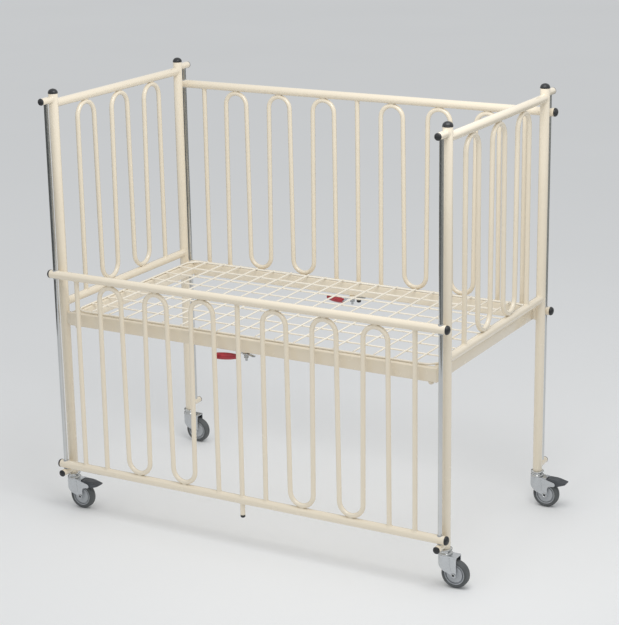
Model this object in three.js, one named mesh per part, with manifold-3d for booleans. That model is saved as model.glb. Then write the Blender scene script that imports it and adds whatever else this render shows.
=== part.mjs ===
// Pediatric hospital cot: four posts on castors, two fixed serpentine end panels, two drop-side
// guards that slide on chromed rods, a wire mesh platform and a turning latch under each long side.
// Millimetres, +Z up, floor at z = 0. X runs along the cot, -Y is the front with the lowered guard.
import * as THREE from 'three';
import { mergeVertices } from 'three/addons/utils/BufferGeometryUtils.js';
import Module from 'manifold-3d';

const wasm = await Module();
wasm.setup();

// Overall layout
const postSpacingX = 1250;
const postSpacingY = 650;
const postLength = 1159;
const railSpacing = 594.5;

// Tubes, bars and rods
const postRadius = 14;
const postWall = 2;
const railRadius = 12.5;
const railWall = 1.5;
const stubRadius = 10;
const barRadius = 7;
const rodRadius = 6;

// Heights on the posts, measured from the post's own ends
const topStubDrop = 16.4;
const bottomStubRise = 11;
const endRailDrop = 28.5;
const raisedRailDrop = 74;

// Stubs and guide rods
const rodOffset = 36;
const stubPastRod = 21;
const stubWall = 1.5;
const stubBore = 11;
const rodSeat = 4;

// Guards and end panels
const railPastRod = 16;
const sideBarInset = 75;
const endLegInset = 110;
const snakeLegs = 6;
const bendTaper = 4;
const weldSink = 0.8;

// Platform
const platformDrop = 27;
const memberHeight = 40;
const memberWidth = 20;
const memberWall = 2;
const memberCorner = 3;
const spigotShow = 9;
const spigotDepth = 60;
const meshInset = 6.5;
const borderWire = 6;
const borderBevel = 1.8;
const borderCorner = 40;
const wireRadius = 2.5;
const wireSink = 0.5;
const crossWires = 18;
const longWires = 7;

// Caps
const postCapPlug = 14;
const railPlugClear = 1.5;
const postCapRadius = 14.6;
const postCapDome = 14;
const railCapRadius = 13;
const railCapDome = 10;
const stubCapPlug = 9;
const stubCapRadius = 10.4;
const stubCapDome = 6;
const capRim = 1.5;

// Castors
const wheelRadius = 40;
const tyreWidth = 25;
const tyreShoulder = 2;
const tyreCrown = 14;
const hubRadius = 30;
const hubRim = 3.5;
const hubGroove = 2.5;
const hubGrooveFloor = 8;
const hubFace = 19;
const bossRadius = 9;
const bossWidth = 27;
const axleRadius = 4;
const axleHeadRadius = 7;
const axleHead = 2.5;
const trail = 31;
const wheelHeadroom = 10;
const forkPlate = 3.5;
const forkLeg = 2.5;
const forkHeadRadius = 20;
const forkEyeRadius = 8;
const forkWaist = 33;
const apronHeight = 24;
const brakedPlateRear = 19;
const raceRadius = 20;
const upperRaceRadius = 21;
const raceHeight = 9.5;
const upperRaceHeight = 9.4;
const stemRadius = 8;
const stemHeadRadius = 11;
const stemHead = 4.5;
const stemInsert = 35;

// Brake pedals
const pedalPivotX = 57;
const pedalPivotDrop = 13;
const trunnionRadius = 2.5;
const earRadius = 6.5;
const earRoot = 18;
const pedalRoot = 36;
const pedalRootRise = 8.5;
const pedalRise = 16;
const pedalBend = 66;
const pedalReach = 96;
const pedalHeel = 8;
const pedalBelly = 5;
const pedalBellyX = 72;
const pedalUnderside = 3.5;

// Latches
const latchInset = 7;
const leverPlate = 4;
const leverDrop = 5;
const leverHubRadius = 11;
const tongueWidth = 8;
const tongueTip = 3;
const tongueClear = 1.5;
const tongueSwing = 48;
const armWidth = 12;
const armOffset = 10;
const armJoggle = 14;
const armRoot = 14;
const armStep = 12;
const tangLength = 30;
const gripStart = 30;
const gripLength = 72;
const gripRadius = 10.5;
const gripSwell = 25;
const gripWaist = 46;
const gripNeck = 8;
const gripTip = 6.5;
const pivotRadius = 4;
const nutRadius = 7.5;
const nutHeight = 11;
const boltEnd = 8;
const latchSwing = 18;
const pinTail = 26;
const pinTipChamfer = 2;
const pinSeat = 8;

// Clearances
const fitGap = 0.3;
const slideGap = 0.5;
const turnGap = 0.4;
const restGap = 0.7;
const notchGap = 1;

// Facets
const tubeSides = 12;
const barSides = 8;
const rodSides = 12;
const wireSides = 6;
const bendSteps = 6;
const wheelSides = 18;
const capSides = 10;
const domeSteps = 3;
const cornerSteps = 2;

// Places that follow from the sizes above
const halfX = postSpacingX / 2;
const halfY = postSpacingY / 2;
const forkPlateBottom = 2 * wheelRadius + wheelHeadroom;
const forkPlateTop = forkPlateBottom + forkPlate;
const raceTop = forkPlateTop + raceHeight;
const postBottom = raceTop + fitGap + upperRaceHeight + fitGap;
const postTop = postBottom + postLength;
const bottomStubZ = postBottom + bottomStubRise;
const topStubZ = postTop - topStubDrop;
const stubEnd = rodOffset + stubPastRod;
const guardY = halfY + rodOffset;
const railEnd = halfX + railPastRod;
const loweredBottomZ = bottomStubZ + stubRadius + restGap + railRadius;
const raisedBottomZ = postTop - raisedRailDrop - railSpacing;
const endTopZ = postTop - endRailDrop;
const endBottomZ = endTopZ - railSpacing;
const platformTop = endBottomZ - platformDrop;
const platformBottom = platformTop - memberHeight;
const memberEnd = halfX - postRadius - spigotShow;
const leverTop = platformBottom - leverDrop;
const leverZ = leverTop - leverPlate / 2;
const latchY = halfY - latchInset;
const tongueReach = guardY - latchY - tongueClear;
const forkGap = bossWidth + 2 * turnGap;
const forkOuter = forkGap / 2 + forkLeg;
const pedalPivotZ = forkPlateBottom - pedalPivotDrop;
const originShift = (railEnd + railCapDome - halfX - pedalReach) / 2;

// Finishes
const finishes = {
  cream: { color: 0xeadfc6, roughness: 0.35, metalness: 0 },
  chrome: { color: 0xcfd3d6, roughness: 0.12, metalness: 1 },
  zinc: { color: 0xb7bcc0, roughness: 0.35, metalness: 0.9 },
  blackPlastic: { color: 0x1d1f22, roughness: 0.45, metalness: 0 },
  redVinyl: { color: 0xa8323f, roughness: 0.4, metalness: 0 },
  greyRubber: { color: 0x55585c, roughness: 0.7, metalness: 0 },
  greyPlastic: { color: 0xb4b8bb, roughness: 0.5, metalness: 0 },
  pedalPlastic: { color: 0x3c4046, roughness: 0.55, metalness: 0 },
};

// A closed geometry as a solid that can be joined and cut
function solidOf(geometry) {
  geometry.deleteAttribute('normal');
  geometry.deleteAttribute('uv');
  const merged = mergeVertices(geometry, 1e-4);
  const corners = merged.index.array;
  const kept = [];
  for (let i = 0; i < corners.length; i += 3) {
    const [a, b, c] = corners.slice(i, i + 3);
    if (a !== b && b !== c && c !== a) kept.push(a, b, c);
  }
  return new wasm.Manifold(new wasm.Mesh({
    numProp: 3,
    vertProperties: new Float32Array(merged.attributes.position.array),
    triVerts: new Uint32Array(kept),
  }));
}

function geometryOf(solid) {
  const mesh = solid.getMesh();
  const geometry = new THREE.BufferGeometry();
  geometry.setAttribute('position', new THREE.BufferAttribute(mesh.vertProperties, mesh.numProp));
  geometry.setIndex(new THREE.BufferAttribute(mesh.triVerts, 1));
  geometry.computeVertexNormals();
  return geometry;
}

function meshOf(name, solid, finish) {
  const mesh = new THREE.Mesh(geometryOf(solid), new THREE.MeshStandardMaterial(finish));
  mesh.name = name;
  return mesh;
}

const joined = (solids) => solids.reduce((all, next) => all.add(next));
const at = (x, y, z) => new THREE.Vector3(x, y, z);

// The radius of a many-sided hole whose flats stay the gap away from a round piece inside it
const holeRound = (radius, gap, sides) => (radius + gap) / Math.cos(Math.PI / sides);

// The radius of a round piece that stays the gap away from the flats of a many-sided bore
const fillOf = (radius, gap, sides) => radius * Math.cos(Math.PI / sides) - gap;

// A straight round bar between two points, with its first edge turned by a part of a facet
function barBetween(start, end, radius, sides, facetTurn = 0) {
  const axis = end.clone().sub(start);
  const first = (facetTurn * 2 * Math.PI) / sides;
  const geometry = new THREE.CylinderGeometry(radius, radius, axis.length(), sides, 1, false, first);
  const turn = new THREE.Quaternion().setFromUnitVectors(at(0, 1, 0), axis.clone().normalize());
  geometry.applyQuaternion(turn);
  const middle = start.clone().add(end).multiplyScalar(0.5);
  geometry.translate(middle.x, middle.y, middle.z);
  return solidOf(geometry);
}

// A block between two opposite corners
function blockBetween(low, high) {
  const size = high.clone().sub(low);
  const geometry = new THREE.BoxGeometry(size.x, size.y, size.z);
  const middle = low.clone().add(high).multiplyScalar(0.5);
  geometry.translate(middle.x, middle.y, middle.z);
  return solidOf(geometry);
}

// A flat outline in X and Y, raised from one height to another
function raised(shape, low, high) {
  const geometry = new THREE.ExtrudeGeometry(shape, {
    depth: high - low, bevelEnabled: false, curveSegments: cornerSteps * 2,
  });
  geometry.translate(0, 0, low);
  return solidOf(geometry);
}

// A side outline in X and Z, given a width in Y
function sideways(shape, low, high) {
  const geometry = new THREE.ExtrudeGeometry(shape, {
    depth: high - low, bevelEnabled: false, curveSegments: cornerSteps * 2,
  });
  geometry.rotateX(Math.PI / 2);
  geometry.translate(0, high, 0);
  return solidOf(geometry);
}

// A turned piece about +Z from points of radius and height
function turned(points, sides, start = 0) {
  const profile = points.map(([radius, height]) => new THREE.Vector2(radius, height));
  const geometry = new THREE.LatheGeometry(profile, sides, start);
  geometry.rotateX(Math.PI / 2);
  return solidOf(geometry);
}

// The points of a dome that closes a turned profile on the axis
function domePoints(radius, base, height) {
  const points = [];
  for (let i = 0; i <= domeSteps; i += 1) {
    const angle = (i / domeSteps) * (Math.PI / 2);
    points.push([i === domeSteps ? 0 : radius * Math.cos(angle), base + height * Math.sin(angle)]);
  }
  return points;
}

function roundedRectangle(path, halfWidth, halfHeight, corner) {
  path.moveTo(halfWidth - corner, -halfHeight);
  path.absarc(halfWidth - corner, corner - halfHeight, corner, -Math.PI / 2, 0);
  path.absarc(halfWidth - corner, halfHeight - corner, corner, 0, Math.PI / 2);
  path.absarc(corner - halfWidth, halfHeight - corner, corner, Math.PI / 2, Math.PI);
  path.absarc(corner - halfWidth, corner - halfHeight, corner, Math.PI, 1.5 * Math.PI);
  path.closePath();
  return path;
}

// A path whose cross-sections stand exactly at the given stations
class StationPath extends THREE.Curve {
  constructor(stations) {
    super();
    this.stations = stations;
  }

  getPoint(t, target = new THREE.Vector3()) {
    const last = this.stations.length - 1;
    const index = Math.min(Math.floor(t * last), last - 1);
    return target.lerpVectors(this.stations[index], this.stations[index + 1], t * last - index);
  }

  getPointAt(u, target) {
    return this.getPoint(u, target);
  }

  getTangentAt(u, target = new THREE.Vector3()) {
    const half = 0.5 / (this.stations.length - 1);
    const ahead = this.getPoint(Math.min(u + half, 1));
    return target.copy(ahead).sub(this.getPoint(Math.max(u - half, 0))).normalize();
  }
}

// One bar bent into legs joined by arches at the top and U bends at the bottom.
// The bends are a little tighter than the legs' pitch, so the legs lean in to each bend.
function serpentine(firstLeg, pitch, bottomZ, topZ, place) {
  const bend = (pitch - bendTaper) / 2;
  const footZ = bottomZ + railRadius;
  const archZ = topZ - railRadius + weldSink - barRadius - bend;
  const bowlZ = footZ - weldSink + barRadius + bend;
  const stations = [place(firstLeg, footZ - weldSink - railWall)];
  for (let leg = 0; leg < snakeLegs - 1; leg += 1) {
    const upward = leg % 2 === 0;
    const middle = firstLeg + (leg + 0.5) * pitch;
    for (let i = 0; i <= bendSteps; i += 1) {
      const angle = Math.PI * (1 - i / bendSteps);
      const height = upward ? archZ + bend * Math.sin(angle) : bowlZ - bend * Math.sin(angle);
      stations.push(place(middle + bend * Math.cos(angle), height));
    }
  }
  stations.push(place(firstLeg + (snakeLegs - 1) * pitch, footZ - weldSink - railWall));
  const section = new THREE.Shape().absarc(0, 0, barRadius, 0, 2 * Math.PI);
  return solidOf(new THREE.ExtrudeGeometry(section, {
    steps: stations.length - 1, curveSegments: barSides / 2, extrudePath: new StationPath(stations),
  }));
}

// A post with its stubs, rod sockets, platform spigot and castor stem, at X and Y signs
function post(signX, signY) {
  const x = signX * halfX;
  const y = signY * halfY;
  const round = (low, high, radius) => barBetween(at(x, y, low), at(x, y, high), radius, tubeSides);
  const stub = (z) => barBetween(at(x, y, z), at(x, y + signY * stubEnd, z), stubRadius, tubeSides);
  const socketRound = holeRound(rodRadius, fitGap, rodSides);
  const socket = (low, high) => {
    const rodY = y + signY * rodOffset;
    return barBetween(at(x, rodY, low), at(x, rodY, high), socketRound, rodSides);
  };
  const spigotY = memberWidth / 2 - memberWall - fitGap;
  const spigotZ = memberHeight / 2 - memberWall - fitGap;
  const spigotEnd = signX * (memberEnd - spigotDepth);
  const middleZ = (platformTop + platformBottom) / 2;
  const spigot = blockBetween(
    at(Math.min(x, spigotEnd), y - spigotY, middleZ - spigotZ),
    at(Math.max(x, spigotEnd), y + spigotY, middleZ + spigotZ),
  );
  const stubBoreFrom = y + signY * (stubEnd - stubBore);
  const stubBoreTo = y + signY * (stubEnd + stubWall);
  const bore = (z) => barBetween(
    at(x, stubBoreFrom, z), at(x, stubBoreTo, z), stubRadius - stubWall, tubeSides,
  );
  const shell = joined([
    round(postBottom, postTop, postRadius), stub(bottomStubZ), stub(topStubZ), spigot,
  ]);
  return shell
    .subtract(bore(bottomStubZ).add(bore(topStubZ)))
    .subtract(round(postBottom + stemInsert, postTop + postWall, postRadius - postWall))
    .add(round(raceTop + fitGap, postBottom + postWall, upperRaceRadius))
    .add(round(forkPlateBottom - fitGap, raceTop + postWall, stemRadius))
    .add(round(forkPlateBottom - fitGap - stemHead, forkPlateBottom - fitGap, stemHeadRadius))
    .subtract(socket(bottomStubZ - rodSeat, bottomStubZ + 2 * stubRadius))
    .subtract(socket(topStubZ - 2 * stubRadius, topStubZ + rodSeat));
}

// The plug and dome of a cap that stands on a tube end at z = 0
function pluggedCap(boreRadius, plugLength, capRadius, dome) {
  const plug = fillOf(boreRadius, fitGap, tubeSides);
  return turned([
    [0, -plugLength], [plug, -plugLength], [plug, fitGap], [capRadius, fitGap], [capRadius, capRim],
    ...domePoints(capRadius, capRim, dome - capRim),
  ], capSides);
}

function guideRod(signX, signY) {
  const x = signX * halfX;
  const y = signY * guardY;
  const low = bottomStubZ - rodSeat + fitGap;
  const high = topStubZ + rodSeat - fitGap;
  return barBetween(at(x, y, low), at(x, y, high), rodRadius, rodSides);
}

// The rails and serpentine bar between the two posts of one end, with ends shaped to the posts
function endPanel(signX) {
  const x = signX * halfX;
  const rail = (z, radius) => barBetween(at(x, -halfY, z), at(x, halfY, z), radius, tubeSides);
  const pitch = (postSpacingY - 2 * endLegInset) / (snakeLegs - 1);
  const snake = serpentine(endLegInset - halfY, pitch, endBottomZ, endTopZ, (side, z) => at(x, side, z));
  const panel = joined([rail(endTopZ, railRadius), rail(endBottomZ, railRadius), snake]);
  const cutter = (y) => barBetween(
    at(x, y, endBottomZ - 2 * railRadius), at(x, y, endTopZ + 2 * railRadius),
    holeRound(postRadius, fitGap, tubeSides), tubeSides,
  );
  return panel
    .subtract(joined([rail(endTopZ, railRadius - railWall), rail(endBottomZ, railRadius - railWall)]))
    .subtract(cutter(-halfY).add(cutter(halfY)));
}

// One welded drop-side guard, with its bottom rail's axis at the given height
function guardPanel(signY, bottomZ) {
  const y = signY * guardY;
  const topZ = bottomZ + railSpacing;
  const rail = (z, radius, end) => barBetween(at(-end, y, z), at(end, y, z), radius, tubeSides);
  const sideBar = snakeLegs + 1;
  const pitch = (halfX - sideBarInset) / sideBar;
  const foot = railRadius - weldSink - railWall;
  const upright = (x) => barBetween(
    at(x, y, bottomZ + foot), at(x, y, topZ - foot), barRadius, barSides,
  );
  const snake = (first) => serpentine(first, pitch, bottomZ, topZ, (side, z) => at(side, y, z));
  const panel = joined([
    rail(topZ, railRadius, railEnd), rail(bottomZ, railRadius, railEnd),
    upright(-sideBar * pitch), upright(0), upright(sideBar * pitch),
    snake(-snakeLegs * pitch), snake(pitch),
  ]);
  const bores = rail(topZ, railRadius - railWall, halfX + postSpacingX)
    .add(rail(bottomZ, railRadius - railWall, halfX + postSpacingX));
  const rodHole = (x) => barBetween(
    at(x, y, bottomZ - 2 * railRadius), at(x, y, topZ + 2 * railRadius),
    holeRound(rodRadius, slideGap, rodSides), rodSides,
  );
  const pinHole = barBetween(
    at(0, y, bottomZ - 2 * railRadius), at(0, y, bottomZ),
    holeRound(barRadius, fitGap, barSides), barSides,
  );
  return panel.subtract(bores).subtract(joined([rodHole(-halfX), rodHole(halfX), pinHole]));
}

// The pin under a guard's centre bar: plugged into the bottom rail, notched for the latch tongue
function latchPin(signY, bottomZ) {
  const y = signY * guardY;
  const notchZ = leverZ - raisedBottomZ + bottomZ;
  const tipZ = notchZ - pinTail;
  const pin = turned([
    [0, tipZ], [barRadius - pinTipChamfer, tipZ], [barRadius, tipZ + pinTipChamfer],
    [barRadius, bottomZ - railRadius + pinSeat], [0, bottomZ - railRadius + pinSeat],
  ], barSides);
  const notch = leverPlate / 2 + notchGap;
  const inner = -signY * 2 * barRadius;
  const cut = blockBetween(
    at(-2 * barRadius, Math.min(0, inner), notchZ - notch),
    at(2 * barRadius, Math.max(0, inner), notchZ + notch),
  );
  return pin.subtract(cut).translate([0, y, 0]);
}

// A rectangular tube along X, centred on the origin
function memberTube(length) {
  const shape = roundedRectangle(new THREE.Shape(), memberWidth / 2, memberHeight / 2, memberCorner);
  const insideWidth = memberWidth / 2 - memberWall;
  const insideHeight = memberHeight / 2 - memberWall;
  const insideCorner = memberCorner - memberWall;
  shape.holes.push(roundedRectangle(new THREE.Path(), insideWidth, insideHeight, insideCorner));
  const geometry = new THREE.ExtrudeGeometry(shape, {
    depth: length, bevelEnabled: false, curveSegments: cornerSteps,
  });
  geometry.translate(0, 0, -length / 2);
  geometry.rotateX(Math.PI / 2);
  geometry.rotateZ(Math.PI / 2);
  return solidOf(geometry);
}

const memberZ = (platformTop + platformBottom) / 2;

function longMember(signY) {
  return memberTube(2 * memberEnd).translate([0, signY * halfY, memberZ]);
}

function endMember(signX) {
  const length = postSpacingY - memberWidth - 2 * fitGap;
  const x = signX * (memberEnd - memberWidth / 2);
  return memberTube(length).rotate([0, 0, 90]).translate([x, 0, memberZ]);
}

// The welded wire mesh: a border wire with round corners, long wires, and cross wires on top.
// The wires have a flat along the top that a mattress lies on.
function wireMesh() {
  const borderX = memberEnd - memberWidth / 2;
  const edge = borderWire / 2 - borderBevel;
  const borderY = halfY - meshInset;
  const ring = roundedRectangle(new THREE.Shape(), borderX + edge, borderY + edge, borderCorner + edge);
  const inside = roundedRectangle(new THREE.Path(), borderX - edge, borderY - edge, borderCorner - edge);
  ring.holes.push(inside);
  const border = new THREE.ExtrudeGeometry(ring, {
    depth: borderWire - 2 * borderBevel, bevelSize: borderBevel, bevelThickness: borderBevel,
    bevelSegments: 1, curveSegments: cornerSteps,
  });
  const borderZ = platformTop + fitGap + borderWire / 2;
  border.translate(0, 0, borderZ - edge);
  const flat = wireRadius * Math.cos(Math.PI / wireSides);
  const crossZ = borderZ + 2 * flat - wireSink;
  const wire = (start, end) => barBetween(start, end, wireRadius, wireSides, 0.5);
  const wires = [solidOf(border)];
  for (let i = 1; i <= longWires; i += 1) {
    const y = -borderY + (i * 2 * borderY) / (longWires + 1);
    wires.push(wire(at(-borderX, y, borderZ), at(borderX, y, borderZ)));
  }
  for (let i = 1; i <= crossWires; i += 1) {
    const x = -borderX + (i * 2 * borderX) / (crossWires + 1);
    wires.push(wire(at(x, -borderY, crossZ), at(x, borderY, crossZ)));
  }
  return joined(wires);
}

// Latch parts are drawn about their pivot with the grip along -X; outward is the side of the guard.
// The tongue stands a swing short of pointing straight outward.
function latchLever(outward) {
  const low = leverTop - leverPlate;
  const shape = new THREE.Shape();
  const lean = THREE.MathUtils.degToRad(tongueSwing);
  const along = (reach, aside) => new THREE.Vector2(
    reach * Math.sin(lean) - aside * Math.cos(lean),
    outward * (reach * Math.cos(lean) + aside * Math.sin(lean)),
  );
  const half = tongueWidth / 2;
  shape.setFromPoints([
    along(0, -half), along(tongueReach - tongueTip, -half), along(tongueReach, 0),
    along(tongueReach - tongueTip, half), along(0, half),
  ]);
  const tongue = raised(shape, low, leverTop);
  const hub = barBetween(at(0, 0, low), at(0, 0, leverTop), leverHubRadius, tubeSides);
  const armLow = low - armJoggle;
  const profile = new THREE.Shape();
  profile.setFromPoints([
    [0, leverTop], [-armRoot, leverTop], [-armRoot - armStep, armLow + leverPlate],
    [-gripStart - tangLength, armLow + leverPlate], [-gripStart - tangLength, armLow],
    [-armRoot - armStep, armLow], [-armRoot, low], [0, low],
  ].map(([x, z]) => new THREE.Vector2(x, z)));
  const armY = -outward * armOffset;
  const arm = sideways(profile, armY - armWidth / 2, armY + armWidth / 2);
  const bore = barBetween(
    at(0, 0, low - leverPlate), at(0, 0, leverTop + leverPlate),
    holeRound(pivotRadius, turnGap, rodSides), rodSides,
  );
  return joined([hub, tongue, arm]).subtract(bore);
}

function latchGrip(outward) {
  const armLow = leverTop - leverPlate - armJoggle;
  const grip = turned([
    [0, 0], [gripNeck, 0], [gripRadius, gripSwell], [gripRadius, gripWaist],
    [gripTip, gripLength], [0, gripLength],
  ], barSides, Math.PI / barSides).rotate([0, -90, 0]);
  const slot = blockBetween(
    at(-tangLength - fitGap, -armWidth / 2 - fitGap, -leverPlate / 2 - fitGap),
    at(tangLength, armWidth / 2 + fitGap, leverPlate / 2 + fitGap),
  );
  return grip.subtract(slot).translate([-gripStart, -outward * armOffset, armLow + leverPlate / 2]);
}

// The bolt that the lever turns on, with a collar above the lever and a nut below it
function latchBolt() {
  const low = leverTop - leverPlate;
  const nutTop = low - turnGap;
  return turned([
    [0, nutTop - nutHeight - boltEnd], [pivotRadius, nutTop - nutHeight - boltEnd],
    [pivotRadius, nutTop - nutHeight], [nutRadius, nutTop - nutHeight], [nutRadius, nutTop],
    [pivotRadius, nutTop], [pivotRadius, leverTop + turnGap], [nutRadius, leverTop + turnGap],
    [nutRadius, platformBottom - fitGap], [0, platformBottom - fitGap],
  ], rodSides);
}

// Castor parts stand about the stem's axis and trail towards +X
const axleAt = (y) => at(trail, y, wheelRadius);

// The side outline of a fork leg. On a braked castor it has an ear behind it for the pedal's pin.
function forkLegShape(braked) {
  const leg = new THREE.Shape();
  const rear = trail + forkEyeRadius;
  leg.moveTo(-forkHeadRadius, forkPlateTop);
  leg.lineTo(-forkHeadRadius, forkPlateTop - apronHeight);
  const waistZ = wheelRadius + forkEyeRadius;
  leg.quadraticCurveTo(trail - forkWaist, waistZ, trail - forkEyeRadius, wheelRadius);
  leg.absarc(trail, wheelRadius, forkEyeRadius, Math.PI, 2 * Math.PI);
  if (braked) {
    const earLow = pedalPivotZ - earRadius;
    const towards = new THREE.Vector2(brakedPlateRear - pedalPivotX, forkPlateTop - pedalPivotZ);
    const tangent = towards.angle() - Math.acos(earRadius / towards.length());
    leg.lineTo(rear, wheelRadius + earRoot);
    leg.quadraticCurveTo(rear, earLow, pedalPivotX, earLow);
    leg.absarc(pedalPivotX, pedalPivotZ, earRadius, -Math.PI / 2, tangent);
    leg.lineTo(brakedPlateRear, forkPlateTop);
  } else {
    leg.lineTo(rear, forkPlateTop);
  }
  leg.closePath();
  return leg;
}

// What lies within a fork's plan: a round head about the stem and straight sides behind it
function forkSpace(headRadius, halfWidth, rear, low, high) {
  const head = barBetween(at(0, 0, low), at(0, 0, high), headRadius, tubeSides);
  return head.add(blockBetween(at(0, -halfWidth, low), at(rear, halfWidth, high)));
}

// A pressed fork: round head with a skirt, two legs, bearing race and axle
function castorFork(braked) {
  const plateRear = braked ? brakedPlateRear : trail + forkEyeRadius;
  const legRear = pedalPivotX + earRadius;
  const foot = wheelRadius - forkEyeRadius;
  const inner = forkOuter - forkLeg;
  const skirt = forkSpace(forkHeadRadius, forkOuter, legRear, foot, forkPlateTop)
    .subtract(forkSpace(forkHeadRadius - forkLeg, inner, legRear + forkLeg, foot, forkPlateTop))
    .intersect(sideways(forkLegShape(braked), -forkHeadRadius, forkHeadRadius));
  const fork = joined([
    skirt,
    forkSpace(forkHeadRadius, forkOuter, plateRear, forkPlateBottom, forkPlateTop),
    barBetween(at(0, 0, forkPlateBottom), at(0, 0, raceTop), raceRadius, tubeSides),
    barBetween(axleAt(-forkOuter), axleAt(forkOuter), axleRadius, rodSides),
    barBetween(axleAt(forkOuter - forkLeg), axleAt(forkOuter + axleHead), axleHeadRadius, rodSides),
    barBetween(axleAt(-forkOuter - axleHead), axleAt(forkLeg - forkOuter), axleHeadRadius, rodSides),
  ]).subtract(barBetween(
    at(0, 0, forkPlateBottom - forkPlate), at(0, 0, raceTop + forkPlate),
    holeRound(stemRadius, turnGap, tubeSides), tubeSides,
  ));
  return braked ? fork.subtract(trunnions(turnGap, forkOuter + axleHead)) : fork;
}

// The pedal's cross pin, or the hole for it when a gap is given
function trunnions(gap, reach) {
  const radius = gap ? holeRound(trunnionRadius, gap, rodSides) : trunnionRadius;
  const pinEnd = (y) => at(pedalPivotX, y, pedalPivotZ);
  return barBetween(pinEnd(-reach), pinEnd(reach), radius, rodSides);
}

function brakePedal() {
  const topZ = pedalPivotZ + pedalRise;
  const shape = new THREE.Shape();
  shape.moveTo(pedalRoot, pedalPivotZ + pedalRootRise);
  shape.lineTo(pedalRoot, topZ);
  shape.lineTo(pedalBend, topZ);
  shape.lineTo(pedalReach, pedalPivotZ + pedalHeel);
  const bellyZ = pedalPivotZ - pedalBelly;
  shape.quadraticCurveTo(pedalReach - pedalHeel, pedalPivotZ, pedalBellyX, bellyZ);
  shape.lineTo(pedalPivotX + trunnionRadius, pedalPivotZ - pedalUnderside);
  shape.closePath();
  const half = forkGap / 2 - turnGap;
  return sideways(shape, -half, half).add(trunnions(0, forkOuter));
}

// A wheel hub turned about the axle: rim, a groove inside it, a flat face and the bearing boss
function wheelHub() {
  const bore = holeRound(axleRadius, turnGap, wheelSides);
  const rim = tyreWidth / 2 - tyreShoulder;
  const grooveRadius = hubRadius - hubRim;
  const faceRadius = grooveRadius - hubGroove;
  const side = [
    [hubRadius, rim], [grooveRadius, rim], [grooveRadius, hubGrooveFloor / 2],
    [faceRadius, hubGrooveFloor / 2], [faceRadius, hubFace / 2], [bossRadius, hubFace / 2],
    [bore, bossWidth / 2],
  ];
  return wheelTurned([...side, ...side.toReversed().map(([r, y]) => [r, -y]), side[0]]);
}

function wheelTyre() {
  const bore = hubRadius + fitGap;
  const rim = tyreWidth / 2 - tyreShoulder;
  const side = [
    [wheelRadius, tyreCrown / 2], [wheelRadius - tyreShoulder, rim],
    [bore + 2 * tyreShoulder, tyreWidth / 2], [bore, rim],
  ];
  return wheelTurned([...side, ...side.toReversed().map(([r, y]) => [r, -y]), side[0]]);
}

// A turned ring about the axle, with a flat facet at the bottom that touches the floor
function wheelTurned(points) {
  const round = 1 / Math.cos(Math.PI / wheelSides);
  const profile = points.map(([radius, y]) => new THREE.Vector2(radius * round, y));
  const geometry = new THREE.LatheGeometry(profile, wheelSides, Math.PI / wheelSides);
  geometry.translate(trail, 0, wheelRadius);
  return solidOf(geometry);
}

// The whole cot, with the origin on the floor under the middle of its outline
const cot = new THREE.Group();
const frame = new THREE.Group();
frame.position.x = originShift;
cot.add(frame);

function addMesh(name, solid, finish, parent = frame) {
  const mesh = meshOf(name, solid, finish);
  parent.add(mesh);
  return mesh;
}

const railPlug = railPastRod - holeRound(rodRadius, slideGap, rodSides) - railPlugClear;

// Turns a piece made along +Z to point along a side, and moves it there
function addTurned(name, solid, finish, place, direction) {
  const mesh = addMesh(name, solid, finish);
  mesh.position.copy(place);
  mesh.quaternion.setFromUnitVectors(at(0, 0, 1), direction);
}

const ends = [{ name: 'left', sign: -1 }, { name: 'right', sign: 1 }];
const sides = [
  { name: 'front', sign: -1, bottomZ: loweredBottomZ },
  { name: 'rear', sign: 1, bottomZ: raisedBottomZ },
];
const brakedCastors = ['front_left', 'rear_right'];

for (const end of ends) {
  addMesh(`${end.name}_end_panel`, endPanel(end.sign), finishes.cream);
  addMesh(`${end.name}_end_member`, endMember(end.sign), finishes.cream);
}

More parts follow.
